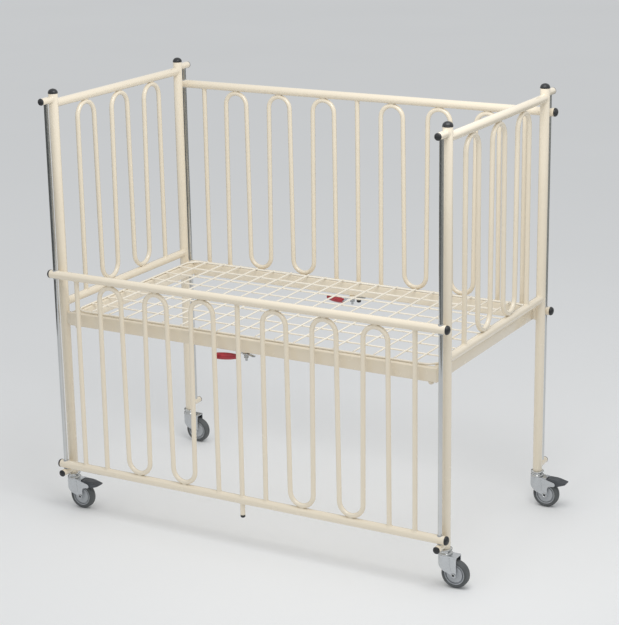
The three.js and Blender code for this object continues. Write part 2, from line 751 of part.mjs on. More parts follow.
for (const side of sides) {
  const y = side.sign * guardY;
  addMesh(`${side.name}_long_member`, longMember(side.sign), finishes.cream);
  addMesh(`${side.name}_guard_panel`, guardPanel(side.sign, side.bottomZ), finishes.cream);
  addMesh(`${side.name}_latch_pin`, latchPin(side.sign, side.bottomZ), finishes.blackPlastic);
  const latch = new THREE.Group();
  latch.position.set(0, side.sign * latchY, 0);
  latch.rotation.z = THREE.MathUtils.degToRad(-side.sign * latchSwing);
  frame.add(latch);
  addMesh(`${side.name}_latch_lever`, latchLever(side.sign), finishes.zinc, latch);
  addMesh(`${side.name}_latch_grip`, latchGrip(side.sign), finishes.redVinyl, latch);
  addMesh(`${side.name}_latch_bolt`, latchBolt(), finishes.zinc).position.y = side.sign * latchY;
  for (const end of ends) {
    const corner = `${side.name}_${end.name}`;
    const x = end.sign * halfX;
    addMesh(`${corner}_post`, post(end.sign, side.sign), finishes.cream);
    addMesh(`${corner}_rod`, guideRod(end.sign, side.sign), finishes.chrome);
    const postCap = pluggedCap(postRadius - postWall, postCapPlug, postCapRadius, postCapDome);
    const postEnd = at(x, side.sign * halfY, postTop);
    addTurned(`${corner}_post_cap`, postCap, finishes.blackPlastic, postEnd, at(0, 0, 1));
    for (const [level, z] of [['top', topStubZ], ['bottom', bottomStubZ]]) {
      const stubTip = at(x, side.sign * (halfY + stubEnd), z);
      const outward = at(0, side.sign, 0);
      const stubCap = pluggedCap(stubRadius - stubWall, stubCapPlug, stubCapRadius, stubCapDome);
      addTurned(`${corner}_${level}_stub_cap`, stubCap, finishes.blackPlastic, stubTip, outward);
    }
    for (const [level, z] of [['bottom', side.bottomZ], ['top', side.bottomZ + railSpacing]]) {
      const railCap = pluggedCap(railRadius - railWall, railPlug, railCapRadius, railCapDome);
      const railTip = at(end.sign * railEnd, y, z);
      const endward = at(end.sign, 0, 0);
      addTurned(`${corner}_${level}_rail_cap`, railCap, finishes.blackPlastic, railTip, endward);
    }
    const braked = brakedCastors.includes(corner);
    const castor = new THREE.Group();
    castor.position.set(x, side.sign * halfY, 0);
    frame.add(castor);
    addMesh(`${corner}_castor_fork`, castorFork(braked), finishes.zinc, castor);
    addMesh(`${corner}_wheel_hub`, wheelHub(), finishes.greyPlastic, castor);
    addMesh(`${corner}_wheel_tyre`, wheelTyre(), finishes.greyRubber, castor);
    if (braked) addMesh(`${corner}_brake_pedal`, brakePedal(), finishes.pedalPlastic, castor);
  }
}

addMesh('platform_mesh', wireMesh(), finishes.cream);

export default cot;
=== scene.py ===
"""Finishes and detailed pieces of a drop-side hospital cot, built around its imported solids."""

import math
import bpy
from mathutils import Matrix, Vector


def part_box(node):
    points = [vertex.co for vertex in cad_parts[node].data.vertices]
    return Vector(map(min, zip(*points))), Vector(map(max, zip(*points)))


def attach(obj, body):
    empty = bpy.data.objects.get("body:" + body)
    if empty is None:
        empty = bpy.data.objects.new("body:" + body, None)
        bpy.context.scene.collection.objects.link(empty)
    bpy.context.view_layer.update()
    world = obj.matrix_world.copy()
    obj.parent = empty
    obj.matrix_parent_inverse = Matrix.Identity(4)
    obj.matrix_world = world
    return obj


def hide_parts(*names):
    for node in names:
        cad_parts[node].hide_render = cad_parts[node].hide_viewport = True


bl_info = {
    "name": "Hospital cot",
    "version": (1, 0, 0),
    "blender": (4, 5, 0),
    "location": "View3D > Sidebar > Cot",
    "description": "Models the tubes, castors, latches and finishes of a drop-side cot",
    "category": "Object",
}

import bpy
from bpy.props import FloatProperty, FloatVectorProperty, IntProperty, PointerProperty
from mathutils import Matrix, Vector

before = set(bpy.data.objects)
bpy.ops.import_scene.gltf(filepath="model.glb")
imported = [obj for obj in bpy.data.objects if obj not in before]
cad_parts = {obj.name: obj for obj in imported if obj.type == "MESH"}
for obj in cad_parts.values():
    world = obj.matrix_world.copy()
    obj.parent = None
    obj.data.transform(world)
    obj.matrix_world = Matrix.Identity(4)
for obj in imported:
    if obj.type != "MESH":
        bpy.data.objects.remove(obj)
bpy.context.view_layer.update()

UP = Vector((0, 0, 1))
ALONG = Vector((1, 0, 0))
ACROSS = Vector((0, 1, 0))
HALF_TURN = math.pi
QUARTER_TURN = math.pi / 2
SIDES = {"front": -1, "rear": 1}
ENDS = {"left": -1, "right": 1}
LEVELS = ("bottom", "top")
BRAKED = ("front_left", "rear_right")


def middle(node):
    """The middle of a CAD node's box."""
    low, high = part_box(node)
    return (low + high) / 2


def corners():
    """Each corner's name and side, with the signs of its Y and X."""
    for side, side_sign in SIDES.items():
        for end, end_sign in ENDS.items():
            yield f"{side}_{end}", side, side_sign, end_sign


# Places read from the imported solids
POST = {name: middle(f"{name}_post_cap") for name, *_ in corners()}
CENTRE_X = (POST["front_left"].x + POST["front_right"].x) / 2
STEM_FOOT, POST_TOP = (corner.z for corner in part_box("front_left_post"))
STUB_Z = {level: middle(f"front_left_{level}_stub_cap").z for level in ("top", "bottom")}
STUB_END = abs(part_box("front_left_post")[0].y)
GUARD_Y = {side: middle(f"{side}_left_rod").y for side in SIDES}
RAIL_Z = {side: {level: middle(f"{side}_left_{level}_rail_cap").z for level in LEVELS} for side in SIDES}
GUARD_RISE = RAIL_Z["rear"]["bottom"] - RAIL_Z["front"]["bottom"]
LATCH = {side: middle(f"{side}_latch_bolt") for side in SIDES}
RACE_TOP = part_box("front_left_castor_fork")[1].z
POST_FOOT = RACE_TOP + 0.0072

# Places of the copies of a piece that was modelled at the front or the left
STAY = Matrix.Identity(4)
MIRROR_X = Matrix.Translation((2 * CENTRE_X, 0, 0)) @ Matrix.Diagonal((-1, 1, 1, 1))
MIRROR_Y = Matrix.Diagonal((1, -1, 1, 1))


def length_prop(name, description, default):
    return FloatProperty(name=name, description=description, default=default, unit="LENGTH")


def angle_prop(name, description, degrees):
    return FloatProperty(name=name, description=description, default=math.radians(degrees), subtype="ANGLE")


def count_prop(name, description, default):
    return IntProperty(name=name, description=description, default=default)


def colour_prop(name, description, default):
    return FloatVectorProperty(name=name, description=description, default=default, size=3, subtype="COLOR")


class CotTubeSizes(bpy.types.PropertyGroup):
    """Sizes of the tubes, bars and wires"""

    post_radius: length_prop("Post radius", "Outside radius of a post", 0.014)
    rail_radius: length_prop("Rail radius", "Outside radius of a rail", 0.0125)
    stub_radius: length_prop("Stub radius", "Radius of the short stubs on the posts", 0.010)
    bar_radius: length_prop("Bar radius", "Radius of upright and serpentine bars", 0.007)
    rod_radius: length_prop("Rod radius", "Radius of the guide rods", 0.006)
    border_radius: length_prop("Border wire radius", "Radius of the mesh's border wire", 0.003)
    wire_radius: length_prop("Wire radius", "Radius of the mesh's wires", 0.0025)
    weld_bead: length_prop("Weld bead", "Radius of a weld bead", 0.0017)
    bend_taper: length_prop("Bend taper", "How much tighter a bend is than the pitch of the legs", 0.004)
    guard_inset: length_prop("Guard inset", "From a guide rod to the guard's side bar", 0.075)
    end_inset: length_prop("End inset", "From a post to the first leg of an end panel", 0.110)
    snake_legs: count_prop("Serpentine legs", "Upright legs of one serpentine bar", 6)
    long_wires: count_prop("Long wires", "Wires along the mesh, without its border", 7)
    cross_wires: count_prop("Cross wires", "Wires across the mesh, without its border", 18)
    tube_sides: count_prop("Tube sides", "Facets round a tube", 32)
    bar_sides: count_prop("Bar sides", "Facets round a bar", 20)


class CotFinishes(bpy.types.PropertyGroup):
    """Colours of the finishes"""

    cream: colour_prop("Cream enamel", "Enamel of tubes and bars", (0.84, 0.753, 0.605))
    # Paler than the cream though it is the same enamel: painted highlight standing in for the gloss on the thin
    # wires
    wire: colour_prop("Wire enamel", "Paler enamel of the mesh", (0.92, 0.86, 0.745))
    chrome: colour_prop("Chrome", "Guide rods and bearing races", (0.66, 0.67, 0.67))
    zinc: colour_prop("Zinc", "Castor forks and latch steel", (0.56, 0.58, 0.60))
    # On the axle plugs this black is painted shade for the axles' hollow ends
    black: colour_prop("Black plastic", "Caps, pin tips and axle plugs", (0.018, 0.019, 0.021))
    red: colour_prop("Red vinyl", "Latch grips", (0.42, 0.025, 0.04))
    tyre: colour_prop("Grey rubber", "Tyres", (0.108, 0.116, 0.119))
    hub: colour_prop("Grey plastic", "Wheel hubs and guide bushes", (0.42, 0.44, 0.46))
    pedal: colour_prop("Pedal plastic", "Brake pedals", (0.055, 0.06, 0.068))
    floor: colour_prop("Floor", "Pale studio floor", (0.86, 0.866, 0.868))


class CotStage(bpy.types.PropertyGroup):
    """Camera of the studio"""

    azimuth: angle_prop("Azimuth", "Camera's turn round the cot", 29.59)
    elevation: angle_prop("Elevation", "Camera's height angle", 16.39)
    roll: angle_prop("Roll", "Camera's roll", -0.96)
    distance: length_prop("Distance", "From the aim to the camera", 5.377)
    aim: FloatVectorProperty(
        name="Aim", description="Point in the middle of the picture",
        size=3, default=(-0.0088, 0.0, 0.6145), subtype="XYZ")
    lens: FloatProperty(
        name="Lens", description="Focal length in millimetres on a 36 mm frame", default=104.84)


# Modelling steps

SEED = 0.001  # side of the plane that a line starts from
DOUBLES = 1e-6  # vertices nearer than this are one
SLIVERS = 1e-5  # edges shorter than this are cleared away
FLAT_DEGREES = 0.05  # faces that meet at less than this are one
SMOOTH = 35  # edges sharper than this, in degrees, stay sharp


def mm(*points):
    """Profile points given in millimetres."""
    return [(radius / 1000, height / 1000) for radius, height in points]


def fresh():
    """Leaves edit mode with nothing selected."""
    if bpy.context.mode != "OBJECT":
        bpy.ops.object.mode_set(mode="OBJECT")
    bpy.ops.object.select_all(action="DESELECT")


def choose(*pieces):
    """Selects pieces, the first one active."""
    fresh()
    for piece in pieces:
        piece.select_set(True)
    bpy.context.view_layer.objects.active = pieces[0]


def placed():
    """The active object, with its place, turn and scale put into its mesh."""
    bpy.ops.object.transform_apply(location=True, rotation=True, scale=True)
    return bpy.context.object


def edit_all():
    """Enters edit mode with everything selected."""
    bpy.ops.object.mode_set(mode="EDIT")
    bpy.ops.mesh.select_all(action="SELECT")


def one_vertex(point):
    """Starts a mesh as one vertex, in edit mode."""
    fresh()
    bpy.ops.mesh.primitive_plane_add(size=SEED, location=point)
    piece = placed()
    edit_all()
    bpy.ops.mesh.merge(type="CENTER")
    return piece


def draw_line(points):
    """Extrudes the chosen vertex from point to point."""
    for here, there in zip(points, points[1:]):
        bpy.ops.mesh.extrude_vertices_move(TRANSFORM_OT_translate={"value": there - here})


def close_edit():
    """Merges doubles, turns the faces outwards and leaves edit mode."""
    bpy.ops.mesh.select_all(action="SELECT")
    bpy.ops.mesh.remove_doubles(threshold=DOUBLES)
    bpy.ops.mesh.normals_make_consistent(inside=False)
    bpy.ops.object.mode_set(mode="OBJECT")


def turned(profile, base, axis, steps):
    """A turned piece: a profile of (radius, height) points spun about an axis."""
    radial = axis.orthogonal().normalized()
    points = [base + radial * radius + axis * height for radius, height in profile]
    piece = one_vertex(points[0])
    draw_line(points)
    bpy.ops.mesh.select_all(action="SELECT")
    bpy.ops.mesh.spin(steps=steps, angle=2 * HALF_TURN, center=base, axis=axis)
    close_edit()
    return piece


def chamfered(radius, low, high, edge):
    """Profile points of a cylinder with chamfered ends."""
    inner = radius - edge
    return [(0, low), (inner, low), (radius, low + edge), (radius, high - edge), (inner, high), (0, high)]


def hexagon(profile, base, axis, edge):
    """A six-sided nut or bolt head with softened edges."""
    piece = turned(profile, base, axis, 6)
    soften(piece, edge, segments=1)
    return piece


def bar(start, path, radius, sides, bend_steps=12):
    """A round bar: a ring drawn along straight runs and spun round bends, left open where it meets itself.

    A step of the path is a point, or (centre, axis, angle) for a bend.
    """
    fresh()
    turn = (path[0] - start).to_track_quat("Z", "Y").to_euler()
    bpy.ops.mesh.primitive_circle_add(
        vertices=sides, radius=radius, fill_type="NOTHING", location=start, rotation=turn)
    piece = placed()
    edit_all()
    place = start
    for step in path:
        if isinstance(step, Vector):
            bpy.ops.mesh.extrude_region_move(TRANSFORM_OT_translate={"value": step - place})
            place = step
        else:
            centre, axis, angle = step
            bpy.ops.mesh.spin(steps=bend_steps, angle=-angle, center=centre, axis=axis)
            place = centre + Matrix.Rotation(angle, 3, axis) @ (place - centre)
    bpy.ops.mesh.select_all(action="SELECT")
    if (place - start).length > radius:
        bpy.ops.mesh.fill_holes(sides=0)
    close_edit()
    return piece


def plate(outline, thickness, edge=0.0, segments=2):
    """A flat outline extruded to its thickness, with softened edges."""
    piece = one_vertex(outline[0])
    draw_line(outline)
    bpy.ops.mesh.select_all(action="SELECT")
    bpy.ops.mesh.edge_face_add()
    bpy.ops.mesh.extrude_region_move(TRANSFORM_OT_translate={"value": thickness})
    close_edit()
    if edge:
        soften(piece, edge, segments)
    return piece


def soften(piece, width, segments=2, angle=30):
    """Rounds the sharp edges of a piece and clears slivers away."""
    choose(piece)
    bevel = piece.modifiers.new("soft_edges", "BEVEL")
    bevel.width = width
    bevel.segments = segments
    bevel.limit_method = "ANGLE"
    bevel.angle_limit = math.radians(angle)
    bpy.ops.object.modifier_apply(modifier=bevel.name)
    edit_all()
    clear_slivers()


def merge_flats(piece):
    """Makes one face of each flat part, so that a piece cut from others has the same mesh each time."""
    choose(piece)
    edit_all()
    bpy.ops.mesh.remove_doubles(threshold=DOUBLES)
    bpy.ops.mesh.dissolve_limited(angle_limit=math.radians(FLAT_DEGREES))
    bpy.ops.mesh.select_all(action="SELECT")
    clear_slivers()


def clear_slivers():
    """Clears slivers and loose parts away and leaves edit mode."""
    bpy.ops.mesh.dissolve_degenerate(threshold=SLIVERS)
    bpy.ops.mesh.delete_loose()
    close_edit()


def block(low, high, edge=0.0):
    """A block between two corners, with softened edges."""
    outline = [(low.x, low.y), (high.x, low.y), (high.x, high.y), (low.x, high.y)]
    return plate([Vector((x, y, low.z)) for x, y in outline], UP * (high.z - low.z), edge)


def cut(piece, cutter, operation="DIFFERENCE"):
    """Takes the cutter's shape out of a piece, keeps only what is in it or adds it, and removes the cutter."""
    choose(piece)
    hole = piece.modifiers.new("hole", "BOOLEAN")
    hole.operation = operation
    hole.solver = "EXACT"
    hole.object = cutter
    bpy.ops.object.modifier_apply(modifier=hole.name)
    bpy.data.objects.remove(cutter)


def weld_ring(crown, out, run, ring_radius, tube_radius, bead):
    """A rippled weld bead round a bar that stands on a round tube, following the tube's curve."""
    spread, ripples, ripple_height = 0.3 * bead, 14, 0.10 * bead
    widest = 0.98 * tube_radius
    fresh()
    bpy.ops.mesh.primitive_torus_add(
        location=crown, rotation=out.to_track_quat("Z", "Y").to_euler(), major_radius=ring_radius + spread,
        minor_radius=bead, major_segments=28, minor_segments=8,
    )
    ring = placed()
    aside = out.cross(run).normalized()
    for vertex in ring.data.vertices:
        offset = vertex.co - crown
        reach = min(abs(offset.dot(aside)), widest)
        turn = math.atan2(offset.dot(aside), offset.dot(run))
        drop = tube_radius - math.sqrt(tube_radius ** 2 - reach ** 2)
        vertex.co += out * (ripple_height * math.sin(ripples * turn) - drop)
    return ring


def ball(place, along, radius, stretch, segments, rings):
    """A ball that is longer or shorter in one direction."""
    fresh()
    turn = along.to_track_quat("Z", "Y").to_euler()
    bpy.ops.mesh.primitive_uv_sphere_add(
        segments=segments, ring_count=rings, radius=radius, location=place, rotation=turn)
    bpy.context.object.scale = (1.0, 1.0, stretch)
    return placed()


def weld_spot(place, along, length, bead):
    """A short weld where two pieces touch side by side."""
    return ball(place, along, bead, length / (2 * bead), segments=14, rings=10)


def joined(pieces):
    """Joins pieces into the first one."""
    choose(*pieces)
    bpy.ops.object.join()
    return bpy.context.object


def copied(piece, place):
    """A copy with its own mesh, moved or mirrored by a matrix."""
    choose(piece)
    bpy.ops.object.duplicate()
    copy = bpy.context.object
    copy.data.transform(place)
    if place.determinant() < 0:
        copy.data.flip_normals()
    return copy


def finish_piece(piece, name, body, slot, *nodes, smooth=SMOOTH, look=None):
    """Names a piece, gives it its slot's finish, or a look of its own, and lets it ride on its body."""
    choose(piece)
    piece.name = name
    piece.data.name = name
    bpy.ops.object.shade_smooth_by_angle(angle=math.radians(smooth))
    piece.data.materials.clear()
    piece.data.materials.append(finish(look or slot))
    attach(piece, body)
    if nodes:
        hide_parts(*nodes)


def finish_copies(rows, place, suffix):
    """Finishes a copy of each row: piece, name, body, slot, smoothing and the node it stands for, if any."""
    for piece, label, body, slot, smooth, *nodes in rows:
        names = [f"{suffix}_{node}" for node in nodes]
        finish_piece(copied(piece, place), f"{label}_{suffix}", body, slot, *names, smooth=smooth)


def clear_away(pieces):
    """Removes the pieces that only served for copies."""
    for piece in pieces:
        bpy.data.objects.remove(piece)


def to_corners(*rows, smooth=SMOOTH):
    """Finishes copies of the front left corner's pieces of the frame at all four corners."""
    rows = [(piece, label, "frame", slot, smooth, *nodes) for piece, label, slot, *nodes in rows]
    for name, _, side_sign, end_sign in corners():
        place = (MIRROR_Y if side_sign > 0 else STAY) @ (MIRROR_X if end_sign > 0 else STAY)
        finish_copies(rows, place, name)
    clear_away(row[0] for row in rows)


def with_mirror(piece, label, names, mirror):
    """Finishes an enamelled piece of the frame and its mirrored copy."""
    for made, name in zip((piece, copied(piece, mirror)), names):
        finish_piece(made, f"{label}_{name}", "frame", "cream_enamel", f"{name}_{label}")


def curve_points(start, control, end, count=8):
    """Points of a quadratic curve, without its start."""
    points = []
    for i in range(1, count + 1):
        t = i / count
        points.append(start * (1 - t) ** 2 + control * 2 * t * (1 - t) + end * t ** 2)
    return points


def arc_points(centre, first, second, start, sweep, count):
    """Points of an arc in the plane of two radius vectors."""
    points = []
    for i in range(count + 1):
        angle = start + sweep * i / count
        points.append(centre + first * math.cos(angle) + second * math.sin(angle))
    return points


# Finishes

class Tree:
    """A node tree with short ways to add nodes and join them."""

    def __init__(self, owner):
        owner.use_nodes = True
        self.tree = owner.node_tree
        self.tree.nodes.clear()

    def put(self, target, value):
        """Sets an input, or joins it to another node's output."""
        if isinstance(value, bpy.types.NodeSocket):
            self.tree.links.new(value, target)
        else:
            target.default_value = value

    def fill(self, node, inputs):
        """Puts values into a node's inputs, with _ for a space in a name."""
        for name, value in inputs.items():
            self.put(node.inputs[name.replace("_", " ")], value)

    def add(self, kind, **inputs):
        node = self.tree.nodes.new(kind)
        self.fill(node, inputs)
        return node

    def maths(self, operation, *values):
        node = self.add("ShaderNodeMath")
        node.operation = operation
        for target, value in zip(node.inputs, values):
            self.put(target, value)
        return node.outputs["Value"]


class Nodes(Tree):
    """A material's node tree: textures in the object's own space and one shader."""

    def __init__(self, name):
        self.material = bpy.data.materials.new(name)
        super().__init__(self.material)
        self.shader = self.add("ShaderNodeBsdfPrincipled")
        self.add("ShaderNodeOutputMaterial", Surface=self.shader.outputs["BSDF"])
        self.place = self.add("ShaderNodeTexCoord").outputs["Object"]

    def noise(self, scale, detail, roughness=0.55, stretch=None):
        place = self.place
        if stretch:
            place = self.add("ShaderNodeMapping", Vector=place, Scale=stretch).outputs["Vector"]
        texture = self.add("ShaderNodeTexNoise", Vector=place, Scale=scale, Detail=detail, Roughness=roughness)
        return texture.outputs["Fac"]

    def cells(self, scale):
        return self.add("ShaderNodeTexVoronoi", Vector=self.place, Scale=scale).outputs["Color"]

    def ramp(self, source, stops):
        ramp = self.add("ShaderNodeValToRGB", Fac=source)
        elements = ramp.color_ramp.elements
        while len(elements) < len(stops):
            elements.new(0.5)
        for element, (position, colour) in zip(elements, stops):
            element.position = position
            element.color = (*colour, 1.0)
        return ramp.outputs["Color"]

    def tints(self, source, colour, stops):
        """A ramp through lighter and darker tints of one colour."""
        return self.ramp(source, [(at, [min(part * factor, 1.0) for part in colour]) for at, factor in stops])

    def spread(self, source, low, high, start=0.3, end=0.7):
        reach = self.add(
            "ShaderNodeMapRange", Value=source, From_Min=start, From_Max=end, To_Min=low, To_Max=high)
        return reach.outputs["Result"]

    def bump(self, source, strength, depth):
        return self.add("ShaderNodeBump", Height=source, Strength=strength, Distance=depth).outputs["Normal"]


# Each finish: the noise and tints of its colour, the noise and range of its roughness, the noise and bump of its
# grain, and other settings of its shader
ENAMEL = {
    "tone": (5.0, 5.0), "tints": ((0.30, 0.985), (0.55, 1.0), (0.75, 1.012)),
    "wear": (38.0, 3.0), "rough": (0.22, 0.28), "grain": (420.0, 2.0), "relief": (0.06, 0.0006),
    "settings": {"Coat_Weight": 0.5, "Coat_Roughness": 0.08, "IOR": 1.5},
}
FINISHES = {
    # Stoved enamel: a faint orange peel under a clear gloss, slightly uneven in tone
    "cream_enamel": {"colour": "cream", **ENAMEL},
    # Same enamel as the cream, made paler: painted highlight for the gloss on the thin mesh wires
    "wire_enamel": {"colour": "wire", **ENAMEL},
    # Chromed steel with faint drawing marks round the rod and a little dulling
    "chrome_rod": {
        "colour": "chrome", "tone": (9.0, 4.0), "tints": ((0.3, 0.90), (0.7, 1.0)),
        "wear": (26.0, 5.0), "rough": (0.05, 0.10),
        "grain": (260.0, 2.0, 0.55, (0.15, 0.15, 1.0)), "relief": (0.015, 0.0002), "settings": {"Metallic": 1.0},
    },
    # Zinc plate with a soft crystal spangle and fine scuffs
    "zinc_steel": {
        "colour": "zinc", "spangle": 240.0, "tints": ((0.2, 0.97), (0.8, 1.03)),
        "wear": (120.0, 6.0, 0.7), "rough": (0.17, 0.24), "grain": (520.0, 4.0), "relief": (0.03, 0.0003),
        "settings": {"Metallic": 0.95},
    },
    # Moulded plastic with a fine grain and a faint bloom
    "black_plastic": {
        "colour": "black", "tone": (60.0, 5.0), "tints": ((0.3, 1.0), (0.8, 1.7)),
        "wear": (90.0, 4.0), "rough": (0.30, 0.44), "grain": (1400.0, 2.0), "relief": (0.10, 0.0003),
        "settings": {"IOR": 1.48},
    },
    # Dipped vinyl, glossy and slightly rippled, darker where it is thin
    "red_vinyl": {
        "colour": "red", "tone": (70.0, 3.0), "tints": ((0.25, 0.80), (0.6, 1.0), (0.85, 1.15)),
        "wear": (110.0, 3.0), "rough": (0.26, 0.40), "grain": (260.0, 2.0), "relief": (0.15, 0.0006),
        "settings": {"Coat_Weight": 0.25, "Coat_Roughness": 0.2},
    },
    # Grey rubber, dull, with a dusty bloom and a fine pitted skin
    "grey_tyre": {
        "colour": "tyre", "tone": (45.0, 6.0, 0.65), "tints": ((0.3, 0.8), (0.6, 1.0), (0.85, 1.5)),
        "wear": (80.0, 4.0), "rough": (0.58, 0.78), "grain": (900.0, 3.0), "relief": (0.18, 0.0004),
    },
    # Light grey moulding with faint flow marks
    "grey_hub": {
        "colour": "hub", "tone": (30.0, 5.0), "tints": ((0.3, 0.90), (0.7, 1.04)),
        "wear": (60.0, 4.0), "rough": (0.36, 0.50), "grain": (1100.0, 2.0), "relief": (0.08, 0.0003),
    },
    # Dark grey glass-filled plastic with a grained, scuffed face
    "pedal_plastic": {
        "colour": "pedal", "tone": (85.0, 6.0, 0.7), "tints": ((0.3, 1.0), (0.8, 1.6)),
        "wear": (140.0, 4.0), "rough": (0.42, 0.60), "grain": (1300.0, 3.0), "relief": (0.16, 0.0004),
    },
}


def finish(name):
    """The material of a finish, made when it is first asked for."""
    made = bpy.data.materials.get(name)
    if made and made.get("cot_finish"):
        return made
    look = FINISHES[name]
    colour = getattr(bpy.context.scene.cot_finishes, look["colour"])
    n = Nodes(name)
    tone = n.noise(*look["tone"]) if "tone" in look else n.cells(look["spangle"])
    n.fill(n.shader, {
        "Base_Color": n.tints(tone, colour, look["tints"]),
        "Roughness": n.spread(n.noise(*look["wear"]), *look["rough"]),
        "Normal": n.bump(n.noise(*look["grain"]), *look["relief"]),
        **look.get("settings", {}),
    })
    n.material["cot_finish"] = True
    return n.material


# Shapes shared by the panels

BAR_SINK = 0.003  # how far a bar's end goes into a rail
BEND_BITE = 0.0008  # how far a bend goes into a rail
BEND_WELD = 0.016  # length of the welds beside a bend


def snake(first, pitch, place, along, bottom_z, top_z, sizes):
    """One serpentine bar between two rails, with its welds."""
    r, rail, bead = sizes.bar_radius, sizes.rail_radius, sizes.weld_bead
    bend = (pitch - sizes.bend_taper) / 2
    foot_z = bottom_z + rail - BAR_SINK
    arch_z = top_z - rail + BEND_BITE - r - bend
    bowl_z = bottom_z + rail - BEND_BITE + r + bend
    axis = UP.cross(along)
    weld_aside, weld_bead = 0.55 * r, 1.15 * bead
    path = []
    welds = []
    for leg in range(sizes.snake_legs - 1):
        mid = first + (leg + 0.5) * pitch
        if leg % 2 == 0:
            bend_z, touch, turn = arch_z, top_z - rail, HALF_TURN
        else:
            bend_z, touch, turn = bowl_z, bottom_z + rail, -HALF_TURN
        path += [place(mid - bend, bend_z), (place(mid, bend_z), axis, turn)]
        for aside in (-weld_aside, weld_aside):
            welds.append(weld_spot(place(mid, touch) + axis * aside, along, BEND_WELD, weld_bead))
    last = first + (sizes.snake_legs - 1) * pitch
    path.append(place(last, foot_z))
    piece = bar(place(first, foot_z), path, r, sizes.bar_sides)
    for foot in (first, last):
        welds.append(weld_ring(place(foot, bottom_z + rail), UP, along, r, rail, bead))
    return [piece, *welds]


def upright(at, place, along, bottom_z, top_z, sizes):
    """One straight bar between two rails, with its welds."""
    r, rail, bead = sizes.bar_radius, sizes.rail_radius, sizes.weld_bead
    foot, top = bottom_z + rail, top_z - rail
    piece = bar(place(at, foot - BAR_SINK), [place(at, top + BAR_SINK)], r, sizes.bar_sides)
    low = weld_ring(place(at, foot), UP, along, r, rail, bead)
    high = weld_ring(place(at, top), -UP, along, r, rail, bead)
    return [piece, low, high]


def model_post(sizes):
    """A tube with two stubs, and a spigot for the long tube of the platform."""
    stub_sink, spigot_sink, spigot_reach, spigot_gap = 0.004, 0.006, 0.058, 0.0023
    x, y = POST["front_left"].xy
    r, stub_r, bead = sizes.post_radius, sizes.stub_radius, sizes.weld_bead
    tube = bar(Vector((x, y, POST_FOOT)), [Vector((x, y, POST_TOP))], r, sizes.tube_sides)
    soften(tube, 0.0012, angle=60)
    parts = [tube]
    for z in STUB_Z.values():
        start, end = Vector((x, y - stub_sink, z)), Vector((x, -STUB_END, z))
        parts.append(bar(start, [end], stub_r, sizes.bar_sides + 4))
        parts.append(weld_ring(Vector((x, y - r, z)), -ACROSS, UP, stub_r, r, bead))
    low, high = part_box("front_long_member")
    spigot_low = Vector((x + spigot_sink, low.y + spigot_gap, low.z + spigot_gap))
    spigot_high = Vector((low.x + spigot_reach, high.y - spigot_gap, high.z - spigot_gap))
    parts.append(block(spigot_low, spigot_high, edge=0.002))
    for z in (spigot_low.z, spigot_high.z):
        parts.append(weld_spot(Vector((x + r, y, z)), ACROSS, length=0.015, bead=bead * 1.2))
    return joined(parts)


def model_stem():
    """The upper bearing race under a post, and the stem's end with its head below."""
    x, y = POST["front_left"].xy
    overlap, stem_rise = 0.0002, 0.0014
    stem_top = RACE_TOP + stem_rise - STEM_FOOT
    race_profile = mm(
        (0, 0), (14.2, 0), (17.2, -0.4), (19.0, -1.3), (19.7, -2.6), (19.4, -3.8), (18.2, -4.8), (16.4, -5.3),
        (15.8, -7.0), (0, -7.0),
    )
    race = turned(race_profile, Vector((x, y, POST_FOOT + overlap)), UP, 40)
    stem_profile = [(0, stem_top), (0.0078, stem_top)]
    stem_profile += mm((7.8, 4.5), (10.8, 4.5), (10.8, 1.2), (9.5, 0), (0, 0))
    return joined([race, turned(stem_profile, Vector((x, y, STEM_FOOT)), UP, 28)])


class COT_OT_posts(bpy.types.Operator):
    """Model the four posts with their stubs and spigots, and the castor stems in their feet"""

    bl_idname = "cot.posts"
    bl_label = "Posts"

    def execute(self, context):
        post = model_post(context.scene.cot_sizes)
        to_corners((post, "post", "cream_enamel", "post"), (model_stem(), "castor_stem", "chrome_rod"))
        return {"FINISHED"}


class COT_OT_end_panels(bpy.types.Operator):
    """Model the two end panels with their serpentine bars and welds"""

    bl_idname = "cot.end_panels"
    bl_label = "End panels"

    def execute(self, context):
        sizes = context.scene.cot_sizes
        low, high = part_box("left_end_panel")
        x = (low.x + high.x) / 2
        reach = abs(POST["front_left"].y)
        rail, post, bead = sizes.rail_radius, sizes.post_radius, sizes.weld_bead
        end_gap = 0.0075
        rail_end = reach - end_gap
        bottom_z, top_z = low.z + rail, high.z - rail

        def place(across, z):
            return Vector((x, across, z))

        parts = []
        for z in (bottom_z, top_z):
            parts.append(bar(place(-rail_end, z), [place(rail_end, z)], rail, sizes.tube_sides))
            for sign in (-1, 1):
                parts.append(weld_ring(place(sign * (reach - post), z), ACROSS * -sign, UP, rail, post, bead))
        pitch = 2 * (reach - sizes.end_inset) / (sizes.snake_legs - 1)
        parts += snake(sizes.end_inset - reach, pitch, place, ACROSS, bottom_z, top_z, sizes)
        with_mirror(joined(parts), "end_panel", ENDS, MIRROR_X)
        return {"FINISHED"}


def model_guard(half, levels, place, sizes):
    """Two drilled rails, three upright bars and two serpentine bars."""
    play, drill = 0.0008, 0.03
    low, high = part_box("front_guard_panel")
    ends = low.x - CENTRE_X, high.x - CENTRE_X
    parts = []
    for z in levels:
        rail = bar(place(ends[0], z), [place(ends[1], z)], sizes.rail_radius, sizes.tube_sides)
        for x in (-half, half):
            cut(rail, bar(place(x, z - drill), [place(x, z + drill)], sizes.rod_radius + play, 24))
        parts.append(rail)
    bars = sizes.snake_legs + 1
    pitch = (half - sizes.guard_inset) / bars
    for at in (-bars * pitch, 0.0, bars * pitch):
        parts += upright(at, place, ALONG, *levels, sizes)
    for first in (-sizes.snake_legs * pitch, pitch):
        parts += snake(first, pitch, place, ALONG, *levels, sizes)
    return joined(parts)


